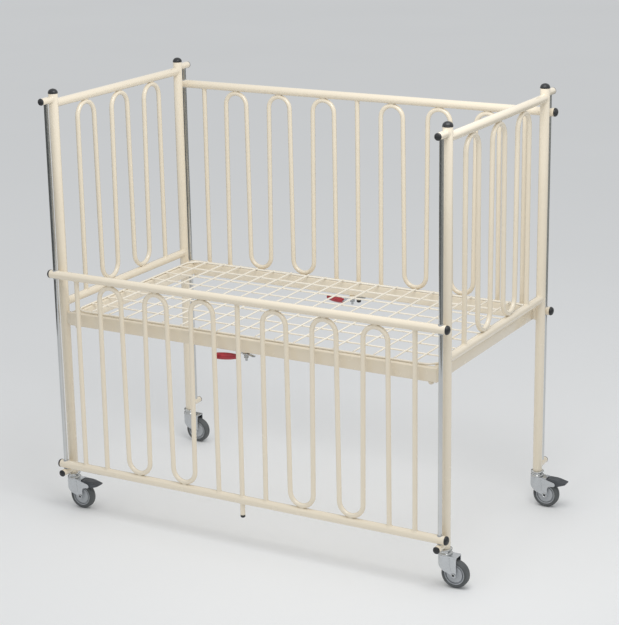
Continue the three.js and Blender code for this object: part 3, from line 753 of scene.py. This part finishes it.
def model_bushes(half, levels, place):
    """Guide bushes over and under each hole of the rails."""
    profile = mm((6.4, 8.0), (7.6, 8.0), (7.7, 12.6), (7.4, 13.1), (6.7, 13.1), (6.4, 12.8), (6.4, 8.0))
    return joined([
        turned(profile, place(x, z), way, 32) for x in (-half, half) for z in levels for way in (UP, -UP)
    ])


def model_latch_pin(rail, sizes):
    """The notched pin under a guard and its black tip."""
    r = sizes.bar_radius
    foot_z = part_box("front_latch_pin")[0].z
    top, end, chamfer = -0.008, foot_z - rail.z + 0.005, 0.0015
    pin = turned([(0, top), (r, top), (r, end + chamfer), (r * 0.8, end), (0, end)], rail, UP, 28)
    notch_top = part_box("rear_latch_lever")[1].z - GUARD_RISE + 0.001
    notch_height, notch_size = 0.006, 0.02
    notch_low = Vector((rail.x - notch_size, rail.y, notch_top - notch_height))
    cut(pin, block(notch_low, Vector((rail.x + notch_size, rail.y + notch_size, notch_top))))
    crown = rail - UP * sizes.rail_radius
    ring = weld_ring(crown, -UP, ALONG, r, sizes.rail_radius, sizes.weld_bead)
    skin, tip_top, rounding, steps = r + 0.0002, 0.0088, 0.004, 5
    profile = [(0, tip_top), (r, tip_top), (skin, tip_top - 0.0008), (skin, rounding)]
    for i in range(1, steps + 1):
        angle = i / steps * QUARTER_TURN
        profile.append((skin - rounding * (1 - math.cos(angle)), rounding * (1 - math.sin(angle))))
    profile.append((0, 0))
    return joined([pin, ring]), turned(profile, Vector((rail.x, rail.y, foot_z)), UP, 28)


class COT_OT_guards(bpy.types.Operator):
    """Model the two drop-side guards, drilled for the guide rods, with bushes and latch pins"""

    bl_idname = "cot.guards"
    bl_label = "Guards"

    def execute(self, context):
        sizes = context.scene.cot_sizes
        half = (POST["front_right"].x - POST["front_left"].x) / 2
        levels = RAIL_Z["front"].values()

        def place(along, z):
            return Vector((CENTRE_X + along, GUARD_Y["front"], z))

        guard = model_guard(half, levels, place, sizes)
        bushes = model_bushes(half, levels, place)
        pin, tip = model_latch_pin(place(0, RAIL_Z["front"]["bottom"]), sizes)
        to_rear = Matrix.Translation((0, 0, GUARD_RISE)) @ MIRROR_Y
        for side, where in (("front", STAY), ("rear", to_rear)):
            body = f"{side}_guard"
            finish_copies((
                (guard, "guard", body, "cream_enamel", SMOOTH, "guard_panel"),
                (bushes, "guide_bushes", body, "grey_hub", SMOOTH),
                (pin, "latch_pin", body, "cream_enamel", SMOOTH, "latch_pin"),
                (tip, "latch_pin_tip", body, "black_plastic", SMOOTH),
            ), where, side)
        clear_away((guard, bushes, pin, tip))
        return {"FINISHED"}


class COT_OT_rods(bpy.types.Operator):
    """Model the chromed guide rods"""

    bl_idname = "cot.rods"
    bl_label = "Guide rods"

    def execute(self, context):
        r, edge = context.scene.cot_sizes.rod_radius, 0.0008
        low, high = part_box("front_left_rod")
        base = Vector(((low.x + high.x) / 2, (low.y + high.y) / 2, low.z))
        rod = turned(chamfered(r, 0, high.z - low.z, edge), base, UP, 32)
        to_corners((rod, "guide_rod", "chrome_rod", "rod"))
        return {"FINISHED"}


def cap_profile(height, depth, plug, rim, edge, rim_top, step):
    """A plug in the tube, a rim with softened edges just over its end, and a dome up to the cap's height."""
    seat, dome_steps = 0.0002, 8
    shoulder, base = rim - step, rim_top + step
    points = [
        (0, -depth), (plug, -depth), (plug, seat), (rim - edge, seat), (rim, seat + edge), (rim, rim_top),
        (shoulder, base),
    ]
    for i in range(1, dome_steps):
        angle = i / dome_steps * QUARTER_TURN
        points.append((shoulder * math.cos(angle), base + (height - base) * math.sin(angle)))
    return [*points, (0, height)]


def post_caps():
    x, y = POST["front_left"].xy
    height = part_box("front_left_post_cap")[1].z - POST_TOP
    profile = cap_profile(
        height, depth=0.013, plug=0.0112, rim=0.0145, edge=0.0006, rim_top=0.0028, step=0.0004)
    cap = turned(profile, Vector((x, y, POST_TOP)), UP, 40)
    to_corners((cap, "post_cap", "black_plastic", "post_cap"))


def rail_caps():
    rail_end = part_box("front_guard_panel")[0].x
    height = rail_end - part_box("front_left_top_rail_cap")[0].x
    profile = cap_profile(
        height, depth=0.006, plug=0.0106, rim=0.0129, edge=0.0005, rim_top=0.0026, step=0.0004)
    for name, side, _, end_sign in corners():
        x = CENTRE_X + end_sign * (CENTRE_X - rail_end)
        for level in LEVELS:
            place = Vector((x, GUARD_Y[side], RAIL_Z[side][level]))
            cap = turned(profile, place, ALONG * end_sign, 36)
            node = f"{name}_{level}_rail_cap"
            finish_piece(cap, f"rail_cap_{level}_{name}", f"{side}_guard", "black_plastic", node)


def stub_caps():
    height = -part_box("front_left_top_stub_cap")[0].y - STUB_END
    profile = cap_profile(
        height, depth=0.008, plug=0.0078, rim=0.0102, edge=0.0005, rim_top=0.0018, step=0.0003)
    rows = []
    for level, z in STUB_Z.items():
        cap = turned(profile, Vector((POST["front_left"].x, -STUB_END, z)), -ACROSS, 36)
        rows.append((cap, f"stub_cap_{level}", "black_plastic", f"{level}_stub_cap"))
    to_corners(*rows)


class COT_OT_caps(bpy.types.Operator):
    """Model the domed caps of posts, rails and stubs"""

    bl_idname = "cot.caps"
    bl_label = "Caps"

    def execute(self, context):
        post_caps()
        rail_caps()
        stub_caps()
        return {"FINISHED"}


def hollow_tube(low, high, run):
    """A rectangular tube, hollow for a hand's breadth at both ends."""
    wall, depth, rounding, end_area, same_way = 0.002, 0.075, 0.003, 0.0004, 0.9
    piece = block(low, high)
    choose(piece)
    bpy.ops.object.mode_set(mode="EDIT")
    bpy.ops.mesh.select_all(action="DESELECT")
    bpy.ops.object.mode_set(mode="OBJECT")
    for edge in piece.data.edges:
        first, second = (piece.data.vertices[i].co for i in edge.vertices)
        edge.select = abs((second - first).normalized().dot(run)) > same_way
    bpy.ops.object.mode_set(mode="EDIT")
    bpy.ops.mesh.select_mode(type="EDGE")
    bpy.ops.mesh.bevel(offset=rounding, segments=4, affect="EDGES")
    for way in (-run, run):
        bpy.ops.mesh.select_mode(type="FACE")
        bpy.ops.mesh.select_all(action="DESELECT")
        bpy.ops.object.mode_set(mode="OBJECT")
        for face in piece.data.polygons:
            face.select = face.normal.dot(way) > same_way and face.area > end_area
        bpy.ops.object.mode_set(mode="EDIT")
        bpy.ops.mesh.inset(thickness=wall, depth=0)
        bpy.ops.mesh.extrude_region_move(TRANSFORM_OT_translate={"value": way * -depth})
    bpy.ops.mesh.select_mode(type="VERT")
    bpy.ops.mesh.select_all(action="SELECT")
    bpy.ops.mesh.normals_make_consistent(inside=False)
    bpy.ops.object.mode_set(mode="OBJECT")
    return piece


def end_member(sizes):
    """A rectangular tube, welded to the long tubes along its upright edges."""
    weld_gap, weld_margin = 0.0002, 0.004
    low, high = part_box("left_end_member")
    tube = block(low, high)
    soften(tube, 0.003, segments=4)
    height, middle_z = high.z - low.z, (low.z + high.z) / 2
    welds = []
    for sign in (-1, 1):
        for x in (low.x, high.x):
            place = Vector((x, sign * (high.y + weld_gap), middle_z))
            welds.append(weld_spot(place, UP, height - weld_margin, sizes.weld_bead))
    return joined([tube, *welds])


def fixing_bolt(place):
    """A washer, a hex head and the bolt's end under a long tube."""
    washer = turned(mm((0, 0), (8.5, 0), (8.5, 1.2), (8.0, 1.6), (0, 1.6)), place, -UP, 32)
    head_profile = mm((0, 1.6), (6.8, 1.6), (7.5, 2.2), (7.5, 6.2), (6.6, 7.0), (0, 7.0))
    head = hexagon(head_profile, place, -UP, edge=0.0004)
    end = turned(mm((0, 7.0), (4.0, 7.0), (4.0, 8.2), (3.4, 8.8), (0, 8.8)), place, -UP, 20)
    return joined([washer, head, end])


def wire_mesh(sizes):
    """A border wire with wires along it and across, welded where they cross."""
    corner, sink = 0.040, 0.0005
    border, wire = sizes.border_radius, sizes.wire_radius
    low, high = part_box("platform_mesh")
    half_x, half_y = (high.x - low.x) / 2 - border, (high.y - low.y) / 2 - border
    inner_x, inner_y = half_x - corner, half_y - corner
    border_z = low.z + border
    flat = wire * math.cos(math.pi / 6)  # the solids' wires have six sides
    cross_z = border_z + 2 * flat - sink

    def at(x, y, z=border_z):
        return Vector((CENTRE_X + x, y, z))

    def spaced(half, count):
        return [-half + i * 2 * half / (count + 1) for i in range(1, count + 1)]

    path = []
    for run_end, bend_centre in (
        (at(inner_x, -half_y), at(inner_x, -inner_y)), (at(half_x, inner_y), at(inner_x, inner_y)),
        (at(-inner_x, half_y), at(-inner_x, inner_y)), (at(-half_x, -inner_y), at(-inner_x, -inner_y)),
    ):
        path += [run_end, (bend_centre, UP, QUARTER_TURN)]
    start = at(0, -half_y)
    parts = [bar(start, [*path, start], border, 14, bend_steps=8)]
    xs, ys = spaced(half_x, sizes.cross_wires), spaced(half_y, sizes.long_wires)
    parts += [bar(at(-half_x, y), [at(half_x, y)], wire, 12) for y in ys]
    parts += [bar(at(x, -half_y, cross_z), [at(x, half_y, cross_z)], wire, 12) for x in xs]
    crossing = at(xs[0], ys[0], (border_z + cross_z) / 2)
    spot = ball(crossing, UP, wire * 1.35, 0.55, segments=8, rings=5)
    for x in xs:
        for y in [-half_y, *ys, half_y]:
            parts.append(copied(spot, Matrix.Translation((x - xs[0], y - ys[0], 0))))
    clear_away([spot])
    # The mesh takes the paler wire enamel: painted highlight
    finish_piece(
        joined(parts), "platform_mesh_wires", "frame", "cream_enamel", "platform_mesh", smooth=50,
        look="wire_enamel",
    )


class COT_OT_platform(bpy.types.Operator):
    """Model the platform tubes, their bolts and the wire mesh"""

    bl_idname = "cot.platform"
    bl_label = "Platform"

    def execute(self, context):
        sizes = context.scene.cot_sizes
        low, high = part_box("front_long_member")
        with_mirror(hollow_tube(low, high, ALONG), "long_member", SIDES, MIRROR_Y)
        with_mirror(end_member(sizes), "end_member", ENDS, MIRROR_X)
        bolt_inset = 0.022
        bolt = fixing_bolt(Vector((low.x + bolt_inset, (low.y + high.y) / 2, low.z)))
        to_corners((bolt, "fixing_bolt", "cream_enamel"), smooth=25)
        wire_mesh(sizes)
        return {"FINISHED"}


ARM_ASIDE = 0.010  # from the pivot to the line of the arm and the grip


def model_lever(outward, low_z, high_z):
    """A bent strap lever: hub, tongue towards the guard and a stepped arm into the grip."""
    thick, lean = 0.004, math.radians(48)
    reach, half, tip = 0.0415, 0.004, 0.003
    plate_low, step_top = high_z - thick, low_z + thick
    ahead = Vector((math.sin(lean), outward * math.cos(lean), 0))
    aside = Vector((-math.cos(lean), outward * math.sin(lean), 0)) * half
    base = UP * plate_low
    shoulder = base + ahead * (reach - tip)
    tongue = plate(
        [base - aside, shoulder - aside, base + ahead * reach, shoulder + aside, base + aside],
        UP * thick, edge=0.0006,
    )
    ring = mm((4.5, 0), (10.4, 0), (11.0, 0.6), (11.0, 3.4), (10.4, 4.0), (4.5, 4.0), (4.5, 0))
    hub = turned(ring, base, UP, 36)
    half_width, root, end = 0.006, -0.006, -0.060
    side = [
        (root, high_z), (-0.014, high_z), (-0.026, step_top), (end, step_top),
        (end, low_z), (-0.027, low_z), (-0.0152, plate_low), (root, plate_low),
    ]
    outline = [Vector((x, -outward * ARM_ASIDE - half_width, z)) for x, z in side]
    arm = plate(outline, ACROSS * 2 * half_width, edge=0.0007)
    return joined([hub, tongue, arm])


def model_grip(outward, low_z):
    """A faceted moulded grip, swelling in the middle, with a rounded end and a collar."""
    profile = mm(
        (0, 0), (7.2, 0), (8.0, 0.8), (8.0, 4.0), (7.6, 5.0), (8.8, 12), (9.8, 20), (10.4, 30), (10.5, 42),
        (10.1, 52), (9.2, 61), (8.0, 67), (6.0, 70.5), (3.5, 71.8), (0, 72),
    )
    grip = turned(profile, Vector((-0.030, -outward * ARM_ASIDE, low_z + 0.002)), -ALONG, 12)
    soften(grip, 0.0012, angle=18)
    return grip


def pivot_bolt(lever_top):
    """A pivot bolt through the lever, with a washer, a hex nut and a lock nut under it."""
    base = UP * lever_top
    top, end, chamfer = 0.001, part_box("rear_latch_bolt")[0].z - lever_top, 0.0008
    shank_profile = [(0, top), (0.004, top), (0.004, end + chamfer), (0.0033, end), (0, end)]
    shank = turned(shank_profile, base, UP, 24)
    washer = turned(mm((0, -4.4), (7.5, -4.4), (7.5, -5.8), (0, -5.8)), base, UP, 32)
    nuts = []
    for high, low in ((-5.9, -10.9), (-11.1, -15.1)):
        profile = mm((0, high), (6.6, high), (7.4, high - 0.7), (7.4, low + 0.7), (6.6, low), (0, low))
        nuts.append(hexagon(profile, base, UP, edge=0.0003))
    return joined([shank, washer, *nuts])


def spacer(lever_top):
    """An enamelled spacer between the long tube and the lever."""
    r, edge, low = 0.0090, 0.0006, 0.0006
    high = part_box("rear_latch_bolt")[1].z - lever_top
    return turned(chamfered(r, low, high, edge), UP * lever_top, UP, 32)


class COT_OT_latches(bpy.types.Operator):
    """Model the two latches: lever, red grip and pivot bolt"""

    bl_idname = "cot.latches"
    bl_label = "Latches"

    swing: angle_prop("Swing", "How far a grip is swung outwards", 18)

    def execute(self, context):
        low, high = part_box("rear_latch_lever")
        for side, outward in SIDES.items():
            pivot = Matrix.Translation((LATCH[side].x, LATCH[side].y, 0))
            turn = pivot @ Matrix.Rotation(-outward * self.swing, 4, "Z")
            body = f"{side}_latch"
            swung = (
                (model_lever(outward, low.z, high.z), "latch_lever", body, "zinc_steel", 30, "latch_lever"),
                (model_grip(outward, low.z), "latch_grip", body, "red_vinyl", 40, "latch_grip"),
            )
            fixed = (
                (pivot_bolt(high.z), "latch_bolt", "frame", "zinc_steel", 25, "latch_bolt"),
                (spacer(high.z), "latch_collar", "frame", "cream_enamel", SMOOTH),
            )
            finish_copies(swung, turn, side)
            finish_copies(fixed, pivot, side)
            clear_away(row[0] for row in swung + fixed)
        return {"FINISHED"}


# Shared by the forks and the pedals, measured from the stem's axis and the floor
FORK_TOP = 0.0935
FORK_HEAD = 0.020  # radius of the head round the stem
FORK_HALF = 0.0164  # half the width over the legs
FORK_EYE = 0.008  # radius of a leg's end round the axle
PEDAL_PIN = Vector((0.057, 0, 0.077))


def fork_side(axle, braked):
    """A fork's outline from the side, with an ear behind it for the pedal's pin where it is braked."""
    front, apron, sweep = -FORK_HEAD, 0.024, 0.033
    ear, ear_start, top_end = 0.0065, 0.018, 0.019
    rear = axle.x + FORK_EYE

    def at(x, z):
        return Vector((x, 0, z))

    outline = [at(front, FORK_TOP), at(front, FORK_TOP - apron)]
    outline += curve_points(outline[-1], at(axle.x - sweep, axle.z + FORK_EYE), axle - ALONG * FORK_EYE)
    outline += arc_points(axle, ALONG * FORK_EYE, UP * FORK_EYE, HALF_TURN, HALF_TURN, 14)[1:]
    if not braked:
        return outline + [at(rear, FORK_TOP)]
    outline.append(at(rear, axle.z + ear_start))
    outline += curve_points(outline[-1], at(rear, PEDAL_PIN.z - ear), PEDAL_PIN - UP * ear)
    outline += arc_points(PEDAL_PIN, ALONG * ear, UP * ear, -QUARTER_TURN, math.radians(165), 12)[1:]
    return outline + [at(top_end, FORK_TOP)]


def fork_plan(inset, rear, low_z, high_z):
    """A plate of a fork's outline from above: a round head about the stem and straight sides behind it."""
    head, half = FORK_HEAD - inset, FORK_HALF - inset
    meet = math.asin(half / head)
    outline = [Vector((rear, -half, low_z))]
    outline += arc_points(UP * low_z, ALONG * head, ACROSS * head, -meet, 2 * meet - 2 * HALF_TURN, 40)
    return plate([*outline, Vector((rear, half, low_z))], UP * (high_z - low_z))


def model_fork(axle, braked):
    """A pressed fork: a skirt with a round head and two ribbed legs, and a crown over it."""
    wall, crown, reach, margin = 0.0025, 0.0900, 0.064, 0.001
    rib_radius, rib_ends = 0.0013, ((0.0215, axle.z + 0.011), (0.0185, FORK_TOP - 0.006))
    foot = axle.z - FORK_EYE
    crown_rear = 0.0352 if braked else axle.x + FORK_EYE
    skirt = fork_plan(0, reach, foot - margin, FORK_TOP)
    cut(skirt, fork_plan(wall, reach + 2 * margin, foot - 4 * margin, FORK_TOP + 4 * margin))
    half_width = FORK_HEAD + 2 * margin
    side = [point - ACROSS * half_width for point in fork_side(axle, braked)]
    cut(skirt, plate(side, ACROSS * 2 * half_width), "INTERSECT")
    cut(skirt, fork_plan(wall / 2, crown_rear, crown, FORK_TOP), "UNION")
    merge_flats(skirt)
    ribs = []
    for y in (-FORK_HALF, FORK_HALF):
        low, high = (Vector((x, y, z)) for x, z in rib_ends)
        ribs.append(bar(low, [high], rib_radius, 12))
    return joined([skirt, *ribs])


def lower_race():
    """The lower bearing race on the fork's head."""
    bore, lip = 0.0086, 0.016
    profile = mm(
        (8.6, 93.0), (18.6, 93.0), (19.6, 93.8), (20.0, 95.5), (19.8, 97.2), (18.8, 98.6), (17.0, 99.3),
        (16.0, 99.7),
    )
    return turned([*profile, (lip, RACE_TOP), (bore, RACE_TOP), profile[0]], Vector(), UP, 40)


def axle_bolt(axle):
    """The axle, riveted over at a hollow end on one side, with a hex nut on the other."""
    shaft = turned(mm((0, -13.6), (3.9, -13.6), (3.9, 17.2), (0, 17.2)), axle, ACROSS, 24)
    rivet = mm(
        (3.6, 13.4), (3.6, 18.2), (4.2, 18.8), (5.4, 18.8), (6.6, 18.0), (6.9, 16.4), (3.9, 16.4), (3.9, 13.4),
        (3.6, 13.4),
    )
    end = turned(rivet, axle, -ACROSS, 32)
    nut_profile = mm((0, 16.4), (6.8, 16.4), (6.8, 18.2), (6.0, 18.8), (0, 18.8))
    return joined([shaft, end, hexagon(nut_profile, axle, ACROSS, edge=0.0003)])


def axle_plug(axle):
    """A black dished plug in the axle's hollow end: painted shade, standing in for the shade inside the hollow.
    """
    profile = mm((0, 17.2), (1.8, 17.4), (3.0, 18.0), (3.55, 18.0), (3.55, 13.8), (0, 13.8))
    return turned(profile, axle, -ACROSS, 24)


def both_faces(side):
    """A wheel's closed profile from the half on one side of its middle."""
    return side + [(radius, -height) for radius, height in reversed(side) if height] + side[:1]


def wheel_hub(axle):
    """A moulded hub: rim, a deep groove inside it, a flat face and a boss."""
    side = mm(
        (29.8, 10.0), (29.2, 10.5), (27.7, 10.5), (27.1, 10.0), (26.8, 4.2), (24.0, 4.2), (23.8, 8.8),
        (23.1, 9.5), (17.0, 9.2), (11.2, 9.5), (10.4, 10.8), (9.6, 11.2), (9.0, 12.8), (8.0, 13.4), (4.6, 13.4),
    )
    return turned(both_faces(side), axle, ACROSS, 48)


def wheel_tyre(axle):
    """A solid tyre with a rounded crown, shoulders and a fine side groove."""
    side = mm(
        (0, 0), (0, 4.2), (0.3, 6.8), (1.2, 9.0), (2.8, 10.8), (4.6, 11.9), (5.2, 12.0), (5.5, 11.6),
        (5.9, 11.6), (6.2, 12.1), (7.8, 12.1), (9.2, 11.2), (9.8, 10.2),
    )
    side = [(axle.z - depth, height) for depth, height in side]
    return turned(both_faces(side), axle, ACROSS, 56)


def brake_pedal():
    """A wedge-shaped foot pedal with ribs across its tread and a pin through its root."""
    half, top, root = 0.0135, 0.093, 0.036
    tread_start, tread_z = 0.076, top - 0.0026
    tip_x, tip_z = 0.0958, 0.0852
    tread_end, tread_end_z = tip_x - 0.001, tip_z + 0.0006

    def at(x, z):
        return Vector((x, -half, z))

    side = [at(root, 0.0855), at(root, top - 0.002)]
    side += curve_points(side[-1], at(root + 0.0005, top), at(root + 0.004, top), 4)
    side += curve_points(at(0.056, top), at(0.066, top), at(tread_start, tread_z), 5)
    side += [at(tread_end, tread_end_z), at(tip_x, tip_z - 0.0004), at(tip_x - 0.0012, tip_z - 0.0042)]
    side += curve_points(side[-1], at(0.086, PEDAL_PIN.z + 0.0005), at(0.072, 0.0722))
    side.append(at(PEDAL_PIN.x + 0.0025, PEDAL_PIN.z - 0.0035))
    body = plate(side, ACROSS * 2 * half, edge=0.0014, segments=3)
    slope = (tread_end_z - tread_z) / (tread_end - tread_start)
    rib_count, rib_pitch, rib_radius, rib_margin, rib_sink = 4, 0.0046, 0.0010, 0.003, 0.0003
    ribs = []
    for i in range(rib_count):
        ahead = 0.001 + i * rib_pitch
        start = Vector((tread_start + ahead, rib_margin - half, tread_z + ahead * slope - rib_sink))
        ribs.append(bar(start, [start + ACROSS * 2 * (half - rib_margin)], rib_radius, 10))
    pin_profile = chamfered(0.0024, -0.0163, 0.0163, edge=0.0003)
    return joined([body, *ribs, turned(pin_profile, PEDAL_PIN, ACROSS, 20)])


class COT_OT_castors(bpy.types.Operator):
    """Model the four swivel castors and the two brake pedals"""

    bl_idname = "cot.castors"
    bl_label = "Castors"

    trail: length_prop("Trail", "From the stem's axis to the axle", 0.031)
    wheel_radius: length_prop("Wheel radius", "Radius of the wheel", 0.040)

    def execute(self, context):
        axle = Vector((self.trail, 0, self.wheel_radius))
        forks = {braked: model_fork(axle, braked) for braked in (False, True)}
        race, hub, tyre = lower_race(), wheel_hub(axle), wheel_tyre(axle)
        bolt, plug, pedal = axle_bolt(axle), axle_plug(axle), brake_pedal()
        for name, *_ in corners():
            place = Matrix.Translation((POST[name].x, POST[name].y, 0))
            castor, wheel = f"{name}_castor", f"{name}_wheel"
            braked = name in BRAKED
            rows = [
                (forks[braked], "castor_fork", castor, "zinc_steel", 30, "castor_fork"),
                (race, "castor_race", castor, "chrome_rod", SMOOTH),
                (bolt, "axle_bolt", castor, "zinc_steel", 25),
                # The black plug is painted shade in the axle's hollow end
                (plug, "axle_plug", castor, "black_plastic", SMOOTH),
                (hub, "wheel_hub", wheel, "grey_hub", SMOOTH, "wheel_hub"),
                (tyre, "wheel_tyre", wheel, "grey_tyre", SMOOTH, "wheel_tyre"),
            ]
            if braked:
                rows.append((pedal, "brake_pedal", f"{name}_pedal", "pedal_plastic", 30, "brake_pedal"))
            finish_copies(rows, place, name)
        clear_away((*forks.values(), race, hub, tyre, bolt, plug, pedal))
        return {"FINISHED"}


def studio_floor(context):
    """A pale plain floor, a hair under the wheels."""
    size, drop = 80, 0.0002
    fresh()
    bpy.ops.mesh.primitive_grid_add(x_subdivisions=4, y_subdivisions=4, size=size, location=(0, 0, -drop))
    floor = context.object
    floor.name = "studio_floor"
    n = Nodes("studio_floor")
    tone = context.scene.cot_finishes.floor
    mottle = n.tints(n.noise(0.7, 2.0), tone, ((0.3, 0.985), (0.7, 1.0)))
    n.fill(n.shader, {"Base_Color": mottle, "Roughness": 0.6, "Specular_IOR_Level": 0.0})
    floor.data.materials.append(n.material)


def studio_light(context):
    """Even light from all sides, and the backdrop that the camera and shiny pieces see."""
    light_colour, light_strength = (0.97, 0.985, 1.0, 1.0), 0.69
    backdrop = (0.78, 0.785, 0.785, 1.0)
    world = bpy.data.worlds.new("studio")
    context.scene.world = world
    tree = Tree(world)
    light = tree.add("ShaderNodeBackground", Color=light_colour, Strength=light_strength)
    seen = tree.add("ShaderNodeBackground", Color=backdrop, Strength=1.0)
    rays = tree.add("ShaderNodeLightPath").outputs
    shown = tree.maths("MAXIMUM", rays["Is Camera Ray"], rays["Is Glossy Ray"])
    shown = tree.maths("MAXIMUM", shown, rays["Is Transmission Ray"])
    mix = tree.add("ShaderNodeMixShader", Fac=shown)
    tree.put(mix.inputs[1], light.outputs["Background"])
    tree.put(mix.inputs[2], seen.outputs["Background"])
    tree.add("ShaderNodeOutputWorld", Surface=mix.outputs["Shader"])


def soft_box(context):
    """A broad soft lamp above the cot, near enough that its light falls off towards the floor."""
    place, aim = Vector((0.75, -0.70, 2.55)), Vector((-0.20, 0.50, 0.66))
    power, size = 24.0, 1.5
    fresh()
    bpy.ops.object.light_add(type="AREA", location=place)
    lamp = context.object
    lamp.name = "soft_box"
    lamp.data.shape = "DISK"
    lamp.data.size = size
    lamp.data.energy = power
    lamp.rotation_euler = (aim - place).to_track_quat("-Z", "Y").to_euler()


def dark_surround(context):
    """The dim room past the lit floor as a painted reflection: a low wall that only shiny pieces mirror, painted
    dark over most of its round and lighter towards +X, with blotches of painted light and shade.
    """
    radius, height = 2.6, 1.05
    # Painted shade and painted light of the room, seen only in reflections
    reflected_shade, reflected_light = (0.13, 0.135, 0.13), (0.42, 0.42, 0.395)
    fresh()
    bpy.ops.mesh.primitive_cylinder_add(
        vertices=64, radius=radius, depth=height, end_fill_type="NOTHING", location=(0, 0, height / 2))
    wall = placed()
    wall.name = "dark_surround"
    wall.visible_camera = False
    wall.visible_diffuse = False
    wall.visible_shadow = False
    n = Nodes("dim_room")
    # Painted reflection: lighter towards +X, with blotches of painted light and shade
    across = n.add("ShaderNodeSeparateXYZ", Vector=n.place).outputs["X"]
    reflected_blotches = n.spread(n.noise(1.3, 1.0), -0.35, 0.50, 0.35, 0.65)
    mixed = n.maths("ADD", n.spread(across, 0.0, 0.9, 0.9, 1.7), reflected_blotches)
    n.fill(n.shader, {"Base_Color": n.ramp(mixed, [(0.0, reflected_shade), (1.0, reflected_light)]), "Roughness": 0.9})
    wall.data.materials.append(n.material)


def studio_camera(context):
    """A camera that looks at the aim from its turn, height and distance."""
    setting = context.scene.cot_stage
    aim = Vector(setting.aim)
    a, e = setting.azimuth, setting.elevation
    back = Vector((math.sin(a) * math.cos(e), -math.cos(a) * math.cos(e), math.sin(e)))
    fresh()
    bpy.ops.object.camera_add(location=aim + back * setting.distance)
    camera = context.object
    camera.name = "studio_camera"
    look = (-back).to_track_quat("-Z", "Y").to_matrix().to_4x4()
    camera.rotation_euler = (look @ Matrix.Rotation(setting.roll, 4, "Z")).to_euler()
    camera.data.sensor_width = 36.0
    camera.data.lens = setting.lens
    context.scene.camera = camera


class COT_OT_stage(bpy.types.Operator):
    """Set up the floor, the lights and the camera"""

    bl_idname = "cot.stage"
    bl_label = "Studio"

    def execute(self, context):
        studio_floor(context)
        studio_light(context)
        soft_box(context)
        # A wall seen only in reflections, painted with the room's shade and light
        dark_surround(context)
        studio_camera(context)
        context.scene.view_settings.view_transform = "Standard"
        return {"FINISHED"}


class COT_PT_panel(bpy.types.Panel):
    """Steps and settings of the cot"""

    bl_idname = "COT_PT_panel"
    bl_label = "Cot"
    bl_space_type = "VIEW_3D"
    bl_region_type = "UI"
    bl_category = "Cot"

    def draw(self, context):
        layout = self.layout
        for step in STEPS:
            layout.operator(step.bl_idname)
        for group in (context.scene.cot_sizes, context.scene.cot_finishes, context.scene.cot_stage):
            box = layout.box()
            for name in group.__annotations__:
                box.prop(group, name)


STEPS = (
    COT_OT_stage, COT_OT_posts, COT_OT_end_panels, COT_OT_guards, COT_OT_rods, COT_OT_caps,
    COT_OT_platform, COT_OT_latches, COT_OT_castors,
)
CLASSES = (CotTubeSizes, CotFinishes, CotStage, *STEPS, COT_PT_panel)


def register():
    for cls in CLASSES:
        bpy.utils.register_class(cls)
    bpy.types.Scene.cot_sizes = PointerProperty(type=CotTubeSizes)
    bpy.types.Scene.cot_finishes = PointerProperty(type=CotFinishes)
    bpy.types.Scene.cot_stage = PointerProperty(type=CotStage)


def unregister():
    del bpy.types.Scene.cot_stage
    del bpy.types.Scene.cot_finishes
    del bpy.types.Scene.cot_sizes
    for cls in reversed(CLASSES):
        bpy.utils.unregister_class(cls)


def main():
    register()
    for name in ("stage", "posts", "end_panels", "guards", "rods", "caps", "platform", "latches", "castors"):
        getattr(bpy.ops.cot, name)()
    fresh()


if __name__ == "__main__":
    main()
